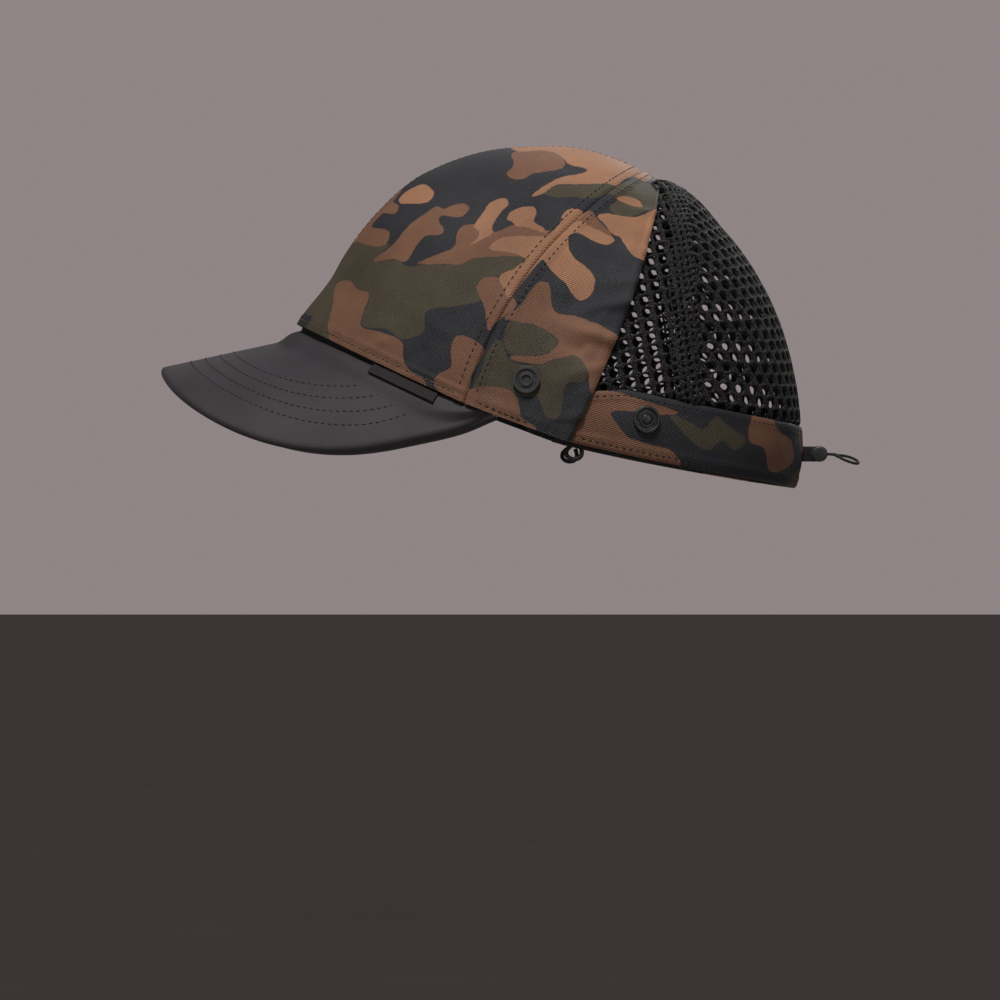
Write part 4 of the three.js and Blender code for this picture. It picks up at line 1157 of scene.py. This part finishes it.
def rear_band():
    def spread(u, v):
        azimuth = lerp(band_azimuth, 360 - band_azimuth, u)
        width = band_width(rim_point(azimuth, 0)[:, 0])
        return azimuth, v * width, width

    def place(u, v):
        azimuth, lift, width = spread(u, v)
        buried = 0.9 * (1 - smoothstep(np.minimum(u, 1 - u), 0.012, 0.022))
        return on_crown(rim_point(azimuth, lift), buried - band_relief(azimuth, lift, width))

    def colours(p, u, v):
        azimuth, lift, _ = spread(u, v)
        return band_camouflage(azimuth, lift)

    def uv(p, u, v):
        azimuth, lift, _ = spread(u, v)
        return np.stack([azimuth * BAND_MM_PER_DEGREE, lift], axis=-1)

    piece = cloth_piece("rear_band_cloth", 300, 26, CLOTH, place, uv, colours)
    x, y, z = cord_exit * MM
    bpy.ops.object.select_all(action="DESELECT")
    bpy.ops.mesh.primitive_cube_add(size=1, location=(x, y, z))
    cutter = bpy.context.active_object
    bpy.ops.transform.resize(value=(12 * MM, 3.8 * MM, 1.9 * MM))
    bpy.ops.object.transform_apply(location=True, rotation=True, scale=True)
    apply_modifier(cutter, "BEVEL", width=0.8 * MM, segments=3)
    area = piece["flat_area"]
    apply_modifier(piece, "BOOLEAN", object=cutter, operation="DIFFERENCE", solver="EXACT")
    piece["flat_area"] = area
    bpy.data.objects.remove(cutter)
    smooth(piece)
    dress(piece, piece.name, CAMOUFLAGE, "cap", ["rear_band"])
    return declare_cloth(piece)


rear_band()

# ---------------------------------------------------------------- bands and tapes inside

inner_band_inset = CLOTH + 0.6 + TAPE + 0.5
sweatband_inset = CASING_DEPTH + LINING + 0.6
root_inset = sweatband_inset + SWEATBAND_THICKNESS - 0.6
inner_band_azimuth = float(azimuth_of(SNAP_SPOTS["side"][0] - 7.6))
visor_tail_azimuth = float(azimuth_of(VISOR_ROOT[0] + 1.15 * VISOR_TAIL))


def visor_droop(x):
    return VISOR_TAIL_DROOP * smoothstep(x, 15, VISOR_TAIL)


def height_over_visor(p):
    q = part_to_visor(rim_to_part(p))
    return np.hypot(q[..., 1], q[..., 2] + visor_droop(q[..., 0]) + VISOR_RADIUS) - VISOR_RADIUS


def lift_over_visor(azimuth, inset, clear):
    azimuth = np.asarray(azimuth, float)
    low, high = np.full(azimuth.shape, -30.0), np.full(azimuth.shape, 40.0)

    def too_high(lift):
        return height_over_visor(on_crown(rim_point(azimuth, lift), inset)) > clear

    return bisect(low, high, too_high)


def inner_edge(azimuth, inset):
    """Lower edge of an inner band: just over the visor at the front, just inside the hem at the back."""
    turn = np.minimum(np.abs(azimuth), 360 - np.abs(azimuth))
    near, far = visor_tail_azimuth + 3, visor_tail_azimuth + 9
    over = np.minimum(lift_over_visor(azimuth, inset, 0.8), 10)
    return np.where(turn > far, 0.5, lerp(over, 0.5, smoothstep(turn, near, far)))


def ring_piece(name, columns, rows, thickness, start, end, inset, low_of, high_of, puff, material):
    """A band round the inside of the rim, a little fuller between its edges."""
    def place(u, v):
        azimuth = lerp(start, end, u)
        x = rim_point(azimuth, 0)[:, 0]
        lift = lerp(low_of(azimuth), high_of(x), v)
        wave = 0.12 * np.sin(azimuth * 0.9) * np.sin(v * math.pi)
        return on_crown(rim_point(azimuth, lift), inset + wave - puff * np.sin(v * math.pi) + puff)

    def uv(p, u, v):
        return np.stack([lerp(start, end, u) * BAND_MM_PER_DEGREE, p[:, 2]], axis=-1)

    piece = cloth_piece(f"{name}_cloth", columns, rows, thickness, place, uv)
    dress(piece, piece.name, material, "cap", [name])
    return declare_cloth(piece)


ring_piece("sweatband", 260, 10, SWEATBAND_THICKNESS, -179.8, 179.8, sweatband_inset,
           lambda azimuth: inner_edge(azimuth, sweatband_inset + SWEATBAND_THICKNESS),
           lambda x: SWEATBAND_HEIGHT, 0.3, TOWELLING)
# The inner front band's black is painted shade for the gap under the front hem.
ring_piece("inner_band_front", 160, 8, CLOTH, -inner_band_azimuth, inner_band_azimuth, inner_band_inset,
           lambda azimuth: inner_edge(azimuth, inner_band_inset + CLOTH),
           lambda x: INNER_BAND_HEIGHT, 0.0, LINING_BLACK_AND_SHADE)
ring_piece("rear_band_lining", 220, 8, LINING, band_azimuth, 360 - band_azimuth, CASING_DEPTH,
           lambda azimuth: 0.3, lambda x: band_width(x) - 0.5, 0.0, LINING_BLACK_AND_SHADE)

tape_inset = CLOTH + 0.6


def lay_tape(name, node, length, place):
    """A tape sewn flat inside the crown. u runs along it and v across."""
    def uv(p, u, v):
        return np.stack([v * 2 * TAPE_HALF_WIDTH, u * length], axis=-1)

    piece = cloth_piece(name, 70, 6, TAPE, place, uv)
    dress(piece, piece.name, TAPE_WEAVE, "cap", [node])
    return declare_cloth(piece)


def centre_tape():
    start = np.arctan2(*rim_point(0, INNER_BAND_HEIGHT + 2)[[2, 0]])
    end = np.arctan2(CROWN_HEIGHT, 2)

    def place(u, v):
        angle = lerp(start, end, u)
        sideways = lerp(-TAPE_HALF_WIDTH, TAPE_HALF_WIDTH, v)
        p = rows_of(np.cos(angle) * CROWN_HEIGHT, sideways, np.sin(angle) * CROWN_HEIGHT)
        return on_crown(p, tape_inset + 0.2)

    return lay_tape("centre_tape_cloth", "centre_seam_tape", 150, place)


def seam_tape(hand, side):
    low = make_arch(lambda z: seam_station(z) - TAPE_HALF_WIDTH, lambda x: 2)
    high = make_arch(lambda z: seam_station(z) + TAPE_HALF_WIDTH, lambda x: 2)

    def place(u, v):
        return on_crown(across(low(u * 0.93, side), high(u * 0.93, side), v), tape_inset)

    return lay_tape(f"side_tape_{hand}_cloth", f"side_seam_tape_{hand}", 130, place)


centre_tape()
for hand, side in HANDS.items():
    seam_tape(hand, side)

# ---------------------------------------------------------------- open mesh

# A cell's outline in sixths of its two steps
CELL_EDGE = [
    (-3, -3), (-1, -3), (1, -3), (3, -3), (3, -1), (3, 1), (3, 3), (1, 3), (-1, 3), (-3, 3), (-3, 1), (-3, -1),
]


def knit_cells(name, pattern, step_a, step_b, hole, reach, keep, thickness, inset_of):
    """Open knit: a four-sided cell round each oval hole, cut out where keep(p) is true."""
    span = np.arange(-reach, reach + 1)
    i, j = (grid.ravel() for grid in np.meshgrid(span, span))
    step_a, step_b = np.array(step_a), np.array(step_b)
    centres = i[:, None] * step_a + j[:, None] * step_b
    centres = centres[np.linalg.norm(centres, axis=1) < PATTERN_RADIUS * 2.2]
    centres = centres[keep(on_crown(unflatten(centres, pattern)))]
    edge = np.array(CELL_EDGE) / 6 @ np.array([step_a, step_b])
    way = unit(edge)
    oval = way / np.sqrt((way[:, :1] / hole[0]) ** 2 + (way[:, 1:] / hole[1]) ** 2)
    tick = np.sin(centres[:, 0] * 12.9898 + centres[:, 1] * 78.233) * 43758.5453
    tick = (tick - np.floor(tick))[:, None, None]
    inner = oval[None] * (0.90 + 0.2 * tick) + np.stack([tick[:, 0] - 0.5, 0.5 - tick[:, 0]], axis=-1) * 0.3
    flat = centres[:, None] + np.concatenate([np.broadcast_to(edge, inner.shape), inner], axis=1)
    directions = unflatten(flat.reshape(-1, 2), pattern)
    spots = on_crown(directions)
    spots = on_crown(directions, inset_of(spots))
    around = len(edge)
    faces = []
    for cell in range(len(centres)):
        base = cell * 2 * around
        for k in range(around):
            n = (k + 1) % around
            faces.append((base + k, base + n, base + around + n, base + around + k))
    piece = mesh_from(name, rim_to_part(spots), faces)
    edit(piece, lambda: bpy.ops.mesh.remove_doubles(threshold=0.02 * MM))
    face_out(piece)
    piece["flat_area"] = len(centres) * abs(np.linalg.det([step_a, step_b])) * MM * MM
    apply_modifier(piece, "SOLIDIFY", thickness=thickness * MM, offset=-1)
    apply_modifier(piece, "SUBSURF", levels=1, render_levels=1)
    smooth(piece, 80)
    return piece


def under_edges(p):
    """How far the mesh sinks below the crown surface where the band and the side panel lap it."""
    over_band = lift_of(p) - band_width(p[:, 0])
    under_band = 1.1 * (1 - smoothstep(over_band, -0.4, 1.2))
    behind = p[:, 0] - panel_rear_station(p[:, 2])
    under_panel = 0.9 * (1 - smoothstep(behind, -0.5, 1.5)) * smoothstep(p[:, 2], 66, 84)
    return np.maximum(under_band, under_panel) - mesh_rise(p[:, 2])


def side_mesh(hand, side):
    def keep(p):
        x, z = p[:, 0], p[:, 2]
        ahead = x > panel_rear_station(z) - lerp(4.5, 1.5, smoothstep(z, 50, 75))
        return ahead & (x < strip_middle(z) + 1) & (lift_of(p) > band_width(x) - 2.5) & (p[:, 1] * side > 3)

    piece = knit_cells(f"mesh_side_{hand}_knit", SIDE_PATTERNS[hand], (5.2, 3.3), (-2.6, 4.9), (2.0, 2.5), 60,
                       keep, MESH_THICKNESS - 0.3, under_edges)
    dress(piece, piece.name, MESH_YARN, "cap", [f"mesh_side_{hand}"])
    return declare_cloth(piece)


def back_mesh():
    def keep(p):
        x, z = p[:, 0], p[:, 2]
        return (x > strip_middle(z) - 1) & (lift_of(p) > band_width(x) - 2.5)

    piece = knit_cells("mesh_back_knit", BACK_PATTERN, (7.6, 0.5), (-2.9, 4.2), (1.95, 2.5), 60,
                       keep, MESH_THICKNESS - 0.3, under_edges)
    dress(piece, piece.name, MESH_YARN, "cap", ["mesh_back"])
    return declare_cloth(piece)


def mesh_strip(hand, side):
    """The doubled seam strip: a second, denser layer of knit laid over the gores' edges."""
    def keep(p):
        x, z = p[:, 0], p[:, 2]
        wide = np.abs(x - strip_middle(z)) < strip_half_width(z) + 0.3
        return wide & (lift_of(p) > band_width(x) - 1) & (p[:, 1] * side > 0.5)

    def rise(p):
        away = np.abs(p[:, 0] - strip_middle(p[:, 2])) / strip_half_width(p[:, 2])
        lumps = 0.45 * np.sin(p[:, 2] * 1.7 + p[:, 1] * 0.9) * np.sin(p[:, 0] * 2.1 + p[:, 2] * 0.6)
        return under_edges(p) * 0.6 - 0.9 + 0.8 * smoothstep(away, 0.6, 1.05) - lumps

    piece = knit_cells(f"mesh_strip_{hand}_knit", SIDE_PATTERNS[hand], (2.7, 1.6), (-1.3, 2.9), (0.62, 0.85),
                       110, keep, 1.0, rise)
    dress(piece, piece.name, MESH_YARN, "cap", [f"mesh_strip_{hand}"])
    return declare_cloth(piece)


back_mesh()
for hand, side in HANDS.items():
    side_mesh(hand, side)
    mesh_strip(hand, side)

# ---------------------------------------------------------------- visor


def visor_point(x, y, depth):
    roll = np.arcsin(np.clip(y / VISOR_RADIUS, -1, 1))
    r = VISOR_RADIUS - depth
    return rows_of(x, r * np.sin(roll), r * np.cos(roll) - VISOR_RADIUS - visor_droop(x))


def visor_outline():
    centre, power = VISOR_OVAL_LENGTH - VISOR_REACH, 2 / VISOR_OVAL_POWER
    turn = np.radians(np.arange(0, 91, 3))
    x = centre - VISOR_OVAL_LENGTH * np.cos(turn) ** power
    y = VISOR_HALF_WIDTH * np.sin(turn) ** power
    x = np.append(x, [VISOR_TAIL - 14, VISOR_TAIL])
    y = np.append(y, [VISOR_HALF_WIDTH - 0.3, VISOR_TAIL_HALF_WIDTH])
    half = np.stack([x, y - VISOR_TAIL_TRIM * visor_droop(x)], axis=-1)
    return smooth_curve(np.vstack([(half * (1, -1))[:0:-1], half]), 6)


outline = visor_outline()
outline_length = length_of(outline)


def visor_root(azimuth):
    lift = lift_over_visor(azimuth, root_inset, 0)
    return part_to_visor(rim_to_part(on_crown(rim_point(azimuth, lift), root_inset)))


def visor_cover(name, top, direction, root_rise, node):
    """One face of the visor's cover, rolled over the edge of the board to the seam at half its depth."""
    rim = VISOR_DEPTH / 2

    def spread(u, v):
        root = visor_root(lerp(visor_tail_azimuth, -visor_tail_azimuth, u))[:, :2]
        edge = along(outline, u * outline_length)
        reach = np.maximum(np.linalg.norm(edge - root, axis=1), 1)
        flat_share = 1 - np.minimum(rim / reach, 0.5)
        roll = np.clip((v - 0.94) / 0.06, 0, 1) * math.pi / 2
        share = np.where(v < 0.94, v / 0.94 * flat_share, flat_share + (1 - flat_share) * np.sin(roll))
        return root, edge, share, rim * (1 - np.cos(roll))

    def place(u, v):
        root, edge, share, drop = spread(u, v)
        spot = lerp(root, edge, share[:, None])
        ripple = 0.05 * np.sin(spot[:, 0] / 5.1) * np.sin(spot[:, 1] / 7.7)
        walked = share * np.linalg.norm(edge - root, axis=1)
        up_to_hem = root_rise * (1 - smoothstep(walked, 4, 12)) * (1 - smoothstep(share, 0.45, 0.8))
        p = visor_point(spot[:, 0], spot[:, 1], top + direction * (drop + ripple) - up_to_hem)
        return part_to_rim(visor_to_part(p))

    def uv(p, u, v):
        root, edge, share, _ = spread(u, v)
        spot = lerp(root, edge, share[:, None])
        unrolled = np.arcsin(np.clip(spot[:, 1] / VISOR_RADIUS, -1, 1)) * VISOR_RADIUS
        return np.stack([spot[:, 0], unrolled], axis=-1)

    bpy.ops.object.select_all(action="DESELECT")
    bpy.ops.mesh.primitive_grid_add(x_subdivisions=180, y_subdivisions=40, size=1)
    piece = bpy.context.active_object
    square = vertex_rows(piece)
    u, v = np.clip(square[:, 0] + 0.5, 0, 1), np.clip(square[:, 1] + 0.5, 0, 1)
    spots = place(u, v)
    set_vertex_rows(piece, rim_to_part(spots) * MM)
    set_uv(piece, uv(spots, u, v))
    middle = piece.data.polygons[len(piece.data.polygons) // 2 + 90]
    if middle.normal.z * direction < 0:
        edit(piece, bpy.ops.mesh.flip_normals)
    piece["flat_area"] = sheet_area(piece)
    apply_modifier(piece, "SOLIDIFY", thickness=0.45 * MM, offset=-1)
    smooth(piece)
    dress(piece, name, VISOR_CLOTH, "cap", [node])
    return declare_cloth(piece)


visor_cover("visor_top_cloth", 0.0, 1, 2.6, "visor_top_cover")
visor_cover("visor_under_cloth", VISOR_DEPTH, -1, 0.0, "visor_under_cover")

# Rows of visor stitching: how far behind the tip, how far in from the side, where each row ends
VISOR_ROWS = [(12.4, 4.6, 66), (18.4, 8.2, 60), (24.4, 12.4, 53), (30.0, 16.8, 45)]


def visor_rows():
    lines = []
    for behind, inside, end in VISOR_ROWS:
        centre = VISOR_OVAL_LENGTH - VISOR_REACH
        turn = np.radians(np.linspace(-90, 90, 181))
        power = 2 / 2.6
        x = centre - (VISOR_OVAL_LENGTH - behind) * np.abs(np.cos(turn)) ** power
        y = (VISOR_HALF_WIDTH - inside) * np.sign(turn) * np.abs(np.sin(turn)) ** power
        straight = np.linspace(centre, end, 30)[1:]
        x = np.concatenate([straight[::-1], x, straight])
        width = np.full(straight.shape, VISOR_HALF_WIDTH - inside)
        y = np.concatenate([-width, y, width])
        y -= np.sign(y) * (VISOR_TAIL_TRIM * visor_droop(x) + 0.003 * np.maximum(x - 16, 0) ** 2)
        shown = x < end
        points = visor_to_part(visor_point(x[shown], y[shown], -0.02))
        above = visor_to_part(visor_point(x[shown], y[shown], -1.02))
        lines.append((points, unit(above - points)))
    return lines


stitched("visor_stitches", visor_rows(), THREAD)

# ---------------------------------------------------------------- stitch lines of the crown and band


def crown_rows():
    black, pale = [], []
    shares = np.linspace(0.0, 0.985, 160)
    for hand, side in HANDS.items():
        for offset in (-3.9, 3.6):
            arch = make_arch(lambda z: seam_station(z) + offset)
            spots = arch(shares, side)
            black.append(crown_line(spots, -(fold_rise(spots, hand) + 0.42)))
        azimuth = np.linspace(1, seam_foot_azimuth - 1, 150)
        spots = rim_point(azimuth, 2.4)
        spots[:, 1] *= -side
        pale.append(crown_line(spots, -(fold_rise(spots, hand) + 0.28)))
        azimuth = np.linspace(seam_foot_azimuth + 1.5, azimuth_of(PANEL_REAR) - 1, 90)
        spots = rim_point(azimuth, 2.4)
        spots[:, 1] *= -side
        black.append(crown_line(spots, -(fold_rise(spots, hand) + 0.28 + 0.6 * smoothstep(azimuth, 88, 96))))
        angle = np.linspace(math.radians(158), math.radians(90), 120)
        spots = on_crown(rows_of(np.cos(angle) * 100, side * 3.6, np.sin(angle) * 100))
        black.append(crown_line(spots, -(fold_rise(spots, hand) + 0.16)))
    return black, pale


def band_rows():
    lines = []
    azimuth = np.linspace(band_azimuth + 5, 355 - band_azimuth, 420)
    width = band_width(rim_point(azimuth, 0)[:, 0])
    for lift in (np.full(azimuth.shape, 2.4), width - 2.2):
        rise = band_relief(azimuth, lift, width)
        lines.append(crown_line(rim_point(azimuth, lift), -rise - 0.02))
    return lines


black_rows, pale_rows = crown_rows()
stitched("panel_stitches", black_rows, THREAD)
stitched("front_hem_stitches", pale_rows, PALE_THREAD, pitch=2.4)
stitched("band_stitches", band_rows(), THREAD)

# ---------------------------------------------------------------- snaps


def ringed_disc(radius, floor, steps, turns=64):
    """A turned disc: each step insets the top face by one amount and then raises it by another."""
    bpy.ops.object.select_all(action="DESELECT")
    bpy.ops.mesh.primitive_circle_add(vertices=turns, radius=radius * MM, fill_type="NGON",
                                      location=(0, 0, 0))
    disc = bpy.context.active_object
    bpy.ops.object.transform_apply(location=True)
    bpy.ops.object.mode_set(mode="EDIT")
    bpy.ops.mesh.select_all(action="SELECT")
    bpy.ops.transform.translate(value=(0, 0, floor * MM))
    bpy.ops.mesh.extrude_region_move(TRANSFORM_OT_translate={"value": (0, 0, steps[0][1] * MM)})
    for inset, rise in steps[1:]:
        bpy.ops.mesh.inset(thickness=inset * MM)
        bpy.ops.transform.translate(value=(0, 0, rise * MM))
    bpy.ops.mesh.select_all(action="SELECT")
    bpy.ops.mesh.normals_make_consistent(inside=False)
    bpy.ops.object.mode_set(mode="OBJECT")
    return disc


def add_ribs(disc, count, radius, size, height, lean=0.0):
    """Small bevelled bars set round a circle on the disc."""
    for k in range(count):
        turn = 2 * math.pi * k / count
        bpy.ops.object.select_all(action="DESELECT")
        bpy.ops.mesh.primitive_cube_add(size=1, location=(0, 0, 0))
        rib = bpy.context.active_object
        bpy.ops.transform.resize(value=(size[0] * MM, size[1] * MM, size[2] * MM))
        bpy.ops.object.transform_apply(scale=True)
        apply_modifier(rib, "BEVEL", width=0.12 * MM, segments=2)
        place = Matrix.Rotation(turn, 4, "Z") @ Matrix.Translation((radius * MM, 0, height * MM))
        rib.data.transform(place @ Matrix.Rotation(math.radians(lean), 4, "Z"))
        rib.select_set(True)
        disc.select_set(True)
        bpy.context.view_layer.objects.active = disc
        bpy.ops.object.join()
    return disc


# Inset and rise of each turned step, in millimetres, from the disc's foot at floor upwards
SIDE_SNAP_STEPS = [(0, 0.9), (0.25, 0.25), (0.8, 0.0), (0.12, -0.12), (0.1, -0.42), (1.15, 0.0), (0.25, 0.5),
                   (0.15, 0.15), (0.55, 0.0), (0.15, -0.2), (0.1, -0.5), (0.3, 0.0)]
BAND_SNAP_STEPS = [(0, 0.9), (0.25, 0.25), (0.75, 0.0), (0.1, -0.15), (0.1, -0.4), (1.0, 0.0), (0.12, 0.35),
                   (0.5, 0.0), (0.12, -0.3), (0.35, 0.0), (0.15, 0.35), (0.3, 0.15), (0.5, 0.05)]
SNAP_FOOT = 0.45


def snap(place, hand, side):
    if place == "side":
        disc = ringed_disc(5.3, SNAP_FOOT, SIDE_SNAP_STEPS)
        add_ribs(disc, 24, 3.55, (0.8, 0.16, 0.3), 1.1)
    else:
        disc = ringed_disc(5.3, SNAP_FOOT, BAND_SNAP_STEPS)
        add_ribs(disc, 6, 3.5, (0.3, 2.6, 0.4), 1.15)
    only(disc)
    apply_modifier(disc, "BEVEL", width=0.08 * MM, segments=2, limit_method="ANGLE",
                   angle_limit=math.radians(35))
    spot = side_point(*SNAP_SPOTS[place], side)
    normal = rim_to_part(crown_normal(spot))
    turn = Vector((0, 0, 1)).rotation_difference(Vector(normal)).to_matrix().to_4x4()
    disc.data.transform(Matrix.Translation(Vector(rim_to_part(spot) * MM)) @ turn)
    smooth(disc, 35)
    dress(disc, f"snap_{place}_{hand}", SNAP_RESIN, "cap", [f"snap_face_{place}_{hand}"])


for hand, side in HANDS.items():
    for place in SNAP_SPOTS:
        snap(place, hand, side)

# ---------------------------------------------------------------- pull tab and ear loops


def pull_tab():
    start, end = azimuth_of(TAB_STATIONS[0]), azimuth_of(TAB_STATIONS[1])

    def place(u, v):
        ribs = 0.05 * np.sin(v * 40)
        return on_crown(rim_point(lerp(start, end, u), lerp(-0.3, -TAB_REACH, v)), lerp(0.8, -2.6, v) + ribs)

    def uv(p, u, v):
        return np.stack([v * 5, u * 31], axis=-1)

    piece = cloth_piece("pull_tab_tape", 60, 12, 0.6, place, uv)
    apply_modifier(piece, "BEVEL", width=0.15 * MM, segments=2, limit_method="ANGLE",
                   angle_limit=math.radians(50))
    smooth(piece, 40)
    dress(piece, piece.name, TAPE_WEAVE, "pull_tab", ["pull_tab"])
    return declare_cloth(piece)


pull_tab()

# Points round a loop in millimetres: along the hem, and down from it
EAR_LOOP_SHAPE = [
    (-1.3, 0), (-2.4, 1.6), (-3, 3.2), (-2.4, 4.9), (0, 5.8), (2.4, 4.9), (3, 3.2), (2.4, 1.6), (1.3, 0),
]


def ear_loop(hand, side):
    azimuth = azimuth_of(EAR_LOOP_STATION)
    inset = CLOTH + 0.6 + EAR_LOOP_CORD / 2
    root = on_crown(rim_point(azimuth, -0.5), inset)
    ahead = unit(on_crown(rim_point(azimuth + 1, -0.5), inset) - root)
    points = np.array([root + ahead * step - np.array([0, 0, drop]) for step, drop in EAR_LOOP_SHAPE])
    points[:, 1] *= -side
    piece = cord_tube(f"ear_loop_{hand}_cord", rim_to_part(smooth_curve(points, 8)), EAR_LOOP_CORD)
    dress(piece, piece.name, BRAID, f"ear_loop_{hand}", [f"ear_loop_{hand}"])


for hand, side in HANDS.items():
    ear_loop(hand, side)

# ---------------------------------------------------------------- cord lock and the carried-over parts


def finished_copy(node, name, width, material, body):
    """A copy of a CAD part with its edges rounded."""
    piece = nodes[node].copy()
    piece.data = nodes[node].data.copy()
    piece.parent = None
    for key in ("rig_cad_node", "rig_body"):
        del piece[key]
    bpy.context.scene.collection.objects.link(piece)
    edit(piece, lambda: bpy.ops.mesh.remove_doubles(threshold=0.002 * MM),
         lambda: bpy.ops.mesh.dissolve_limited(angle_limit=math.radians(1)))
    apply_modifier(piece, "BEVEL", width=width * MM, segments=3, limit_method="ANGLE",
                   angle_limit=math.radians(40), use_clamp_overlap=True)
    smooth(piece, 35)
    return dress(piece, name, material, body, [node])


finished_copy("cord_lock_body", "cord_lock_shell", 0.3, LOCK_RESIN, "cord_lock")
finished_copy("cord_lock_button", "cord_lock_plunger", 0.2, LOCK_RESIN, "lock_button")

CARRIED_OVER = {
    "visor_board": BOARD_RESIN, "cord_lock_spring": STEEL, "drawcord_left": BRAID, "drawcord_right": BRAID,
    "snap_back_side_left": SNAP_RESIN, "snap_back_side_right": SNAP_RESIN,
    "snap_back_band_left": SNAP_RESIN, "snap_back_band_right": SNAP_RESIN,
}
for node, material in CARRIED_OVER.items():
    nodes[node].data.materials.clear()
    nodes[node].data.materials.append(material)

# ---------------------------------------------------------------- floor and light

FLOOR_DROP = 0.6


def pale_floor():
    bpy.ops.object.select_all(action="DESELECT")
    bpy.ops.mesh.primitive_plane_add(size=60, location=(0, 0, cad_box[0].z - FLOOR_DROP))
    floor = bpy.context.active_object
    floor.name = "floor"
    material, tree, shader = new_material("pale_floor", (0.62, 0.58, 0.57), 0.9, Specular_IOR_Level=0.1)
    tone = ramp(tree, noise(tree, coordinates(tree), 3, 2), [(0.3, 0.60), (0.7, 0.64)])
    warm = mix_colours(tree, 1.0, tone, (1.0, 0.93, 0.92, 1), "MULTIPLY")
    tree.links.new(warm, shader.inputs["Base Color"])
    floor.data.materials.append(material)


def area_light(name, place, aim, size, power, colour=(1, 1, 1), spread=180):
    data = bpy.data.lights.new(name, "AREA")
    data.spread = math.radians(spread)
    data.size = size
    data.energy = power
    data.color = colour
    light = bpy.data.objects.new(name, data)
    light.location = place
    light.rotation_euler = (Vector(aim) - Vector(place)).to_track_quat("-Z", "Y").to_euler()
    bpy.context.scene.collection.objects.link(light)


pale_floor()
area_light("key", (-0.25, -1.0, 1.9), (0.0, 0, 0.03), 0.5, 3.7, (1.0, 0.97, 0.95), 50)
area_light("front", (-1.8, -0.9, 0.2), (0, 0, 0), 0.7, 0.5, spread=60)
area_light("side", (1.3, -1.9, 0.4), (0.06, 0, 0), 0.6, 0.75, spread=60)
area_light("back", (0.7, 1.7, 1.1), (0, 0, 0), 1.0, 2.4, spread=60)

# The room is seen at its full tone, but lights the cap only softly
ROOM_TONE = (0.280, 0.236, 0.238, 1)
ROOM_LIGHT = 0.25


def studio_room():
    world = bpy.data.worlds.new("studio")
    world.use_nodes = True
    tree = world.node_tree
    background = tree.nodes["Background"]
    background.inputs[0].default_value = ROOM_TONE
    seen = add_node(tree, "ShaderNodeLightPath").outputs["Is Camera Ray"]
    strength = math_node(tree, "ADD", math_node(tree, "MULTIPLY", seen, 1 - ROOM_LIGHT), ROOM_LIGHT)
    tree.links.new(strength, background.inputs[1])
    bpy.context.scene.world = world


studio_room()
bpy.context.scene.view_settings.view_transform = "Standard"
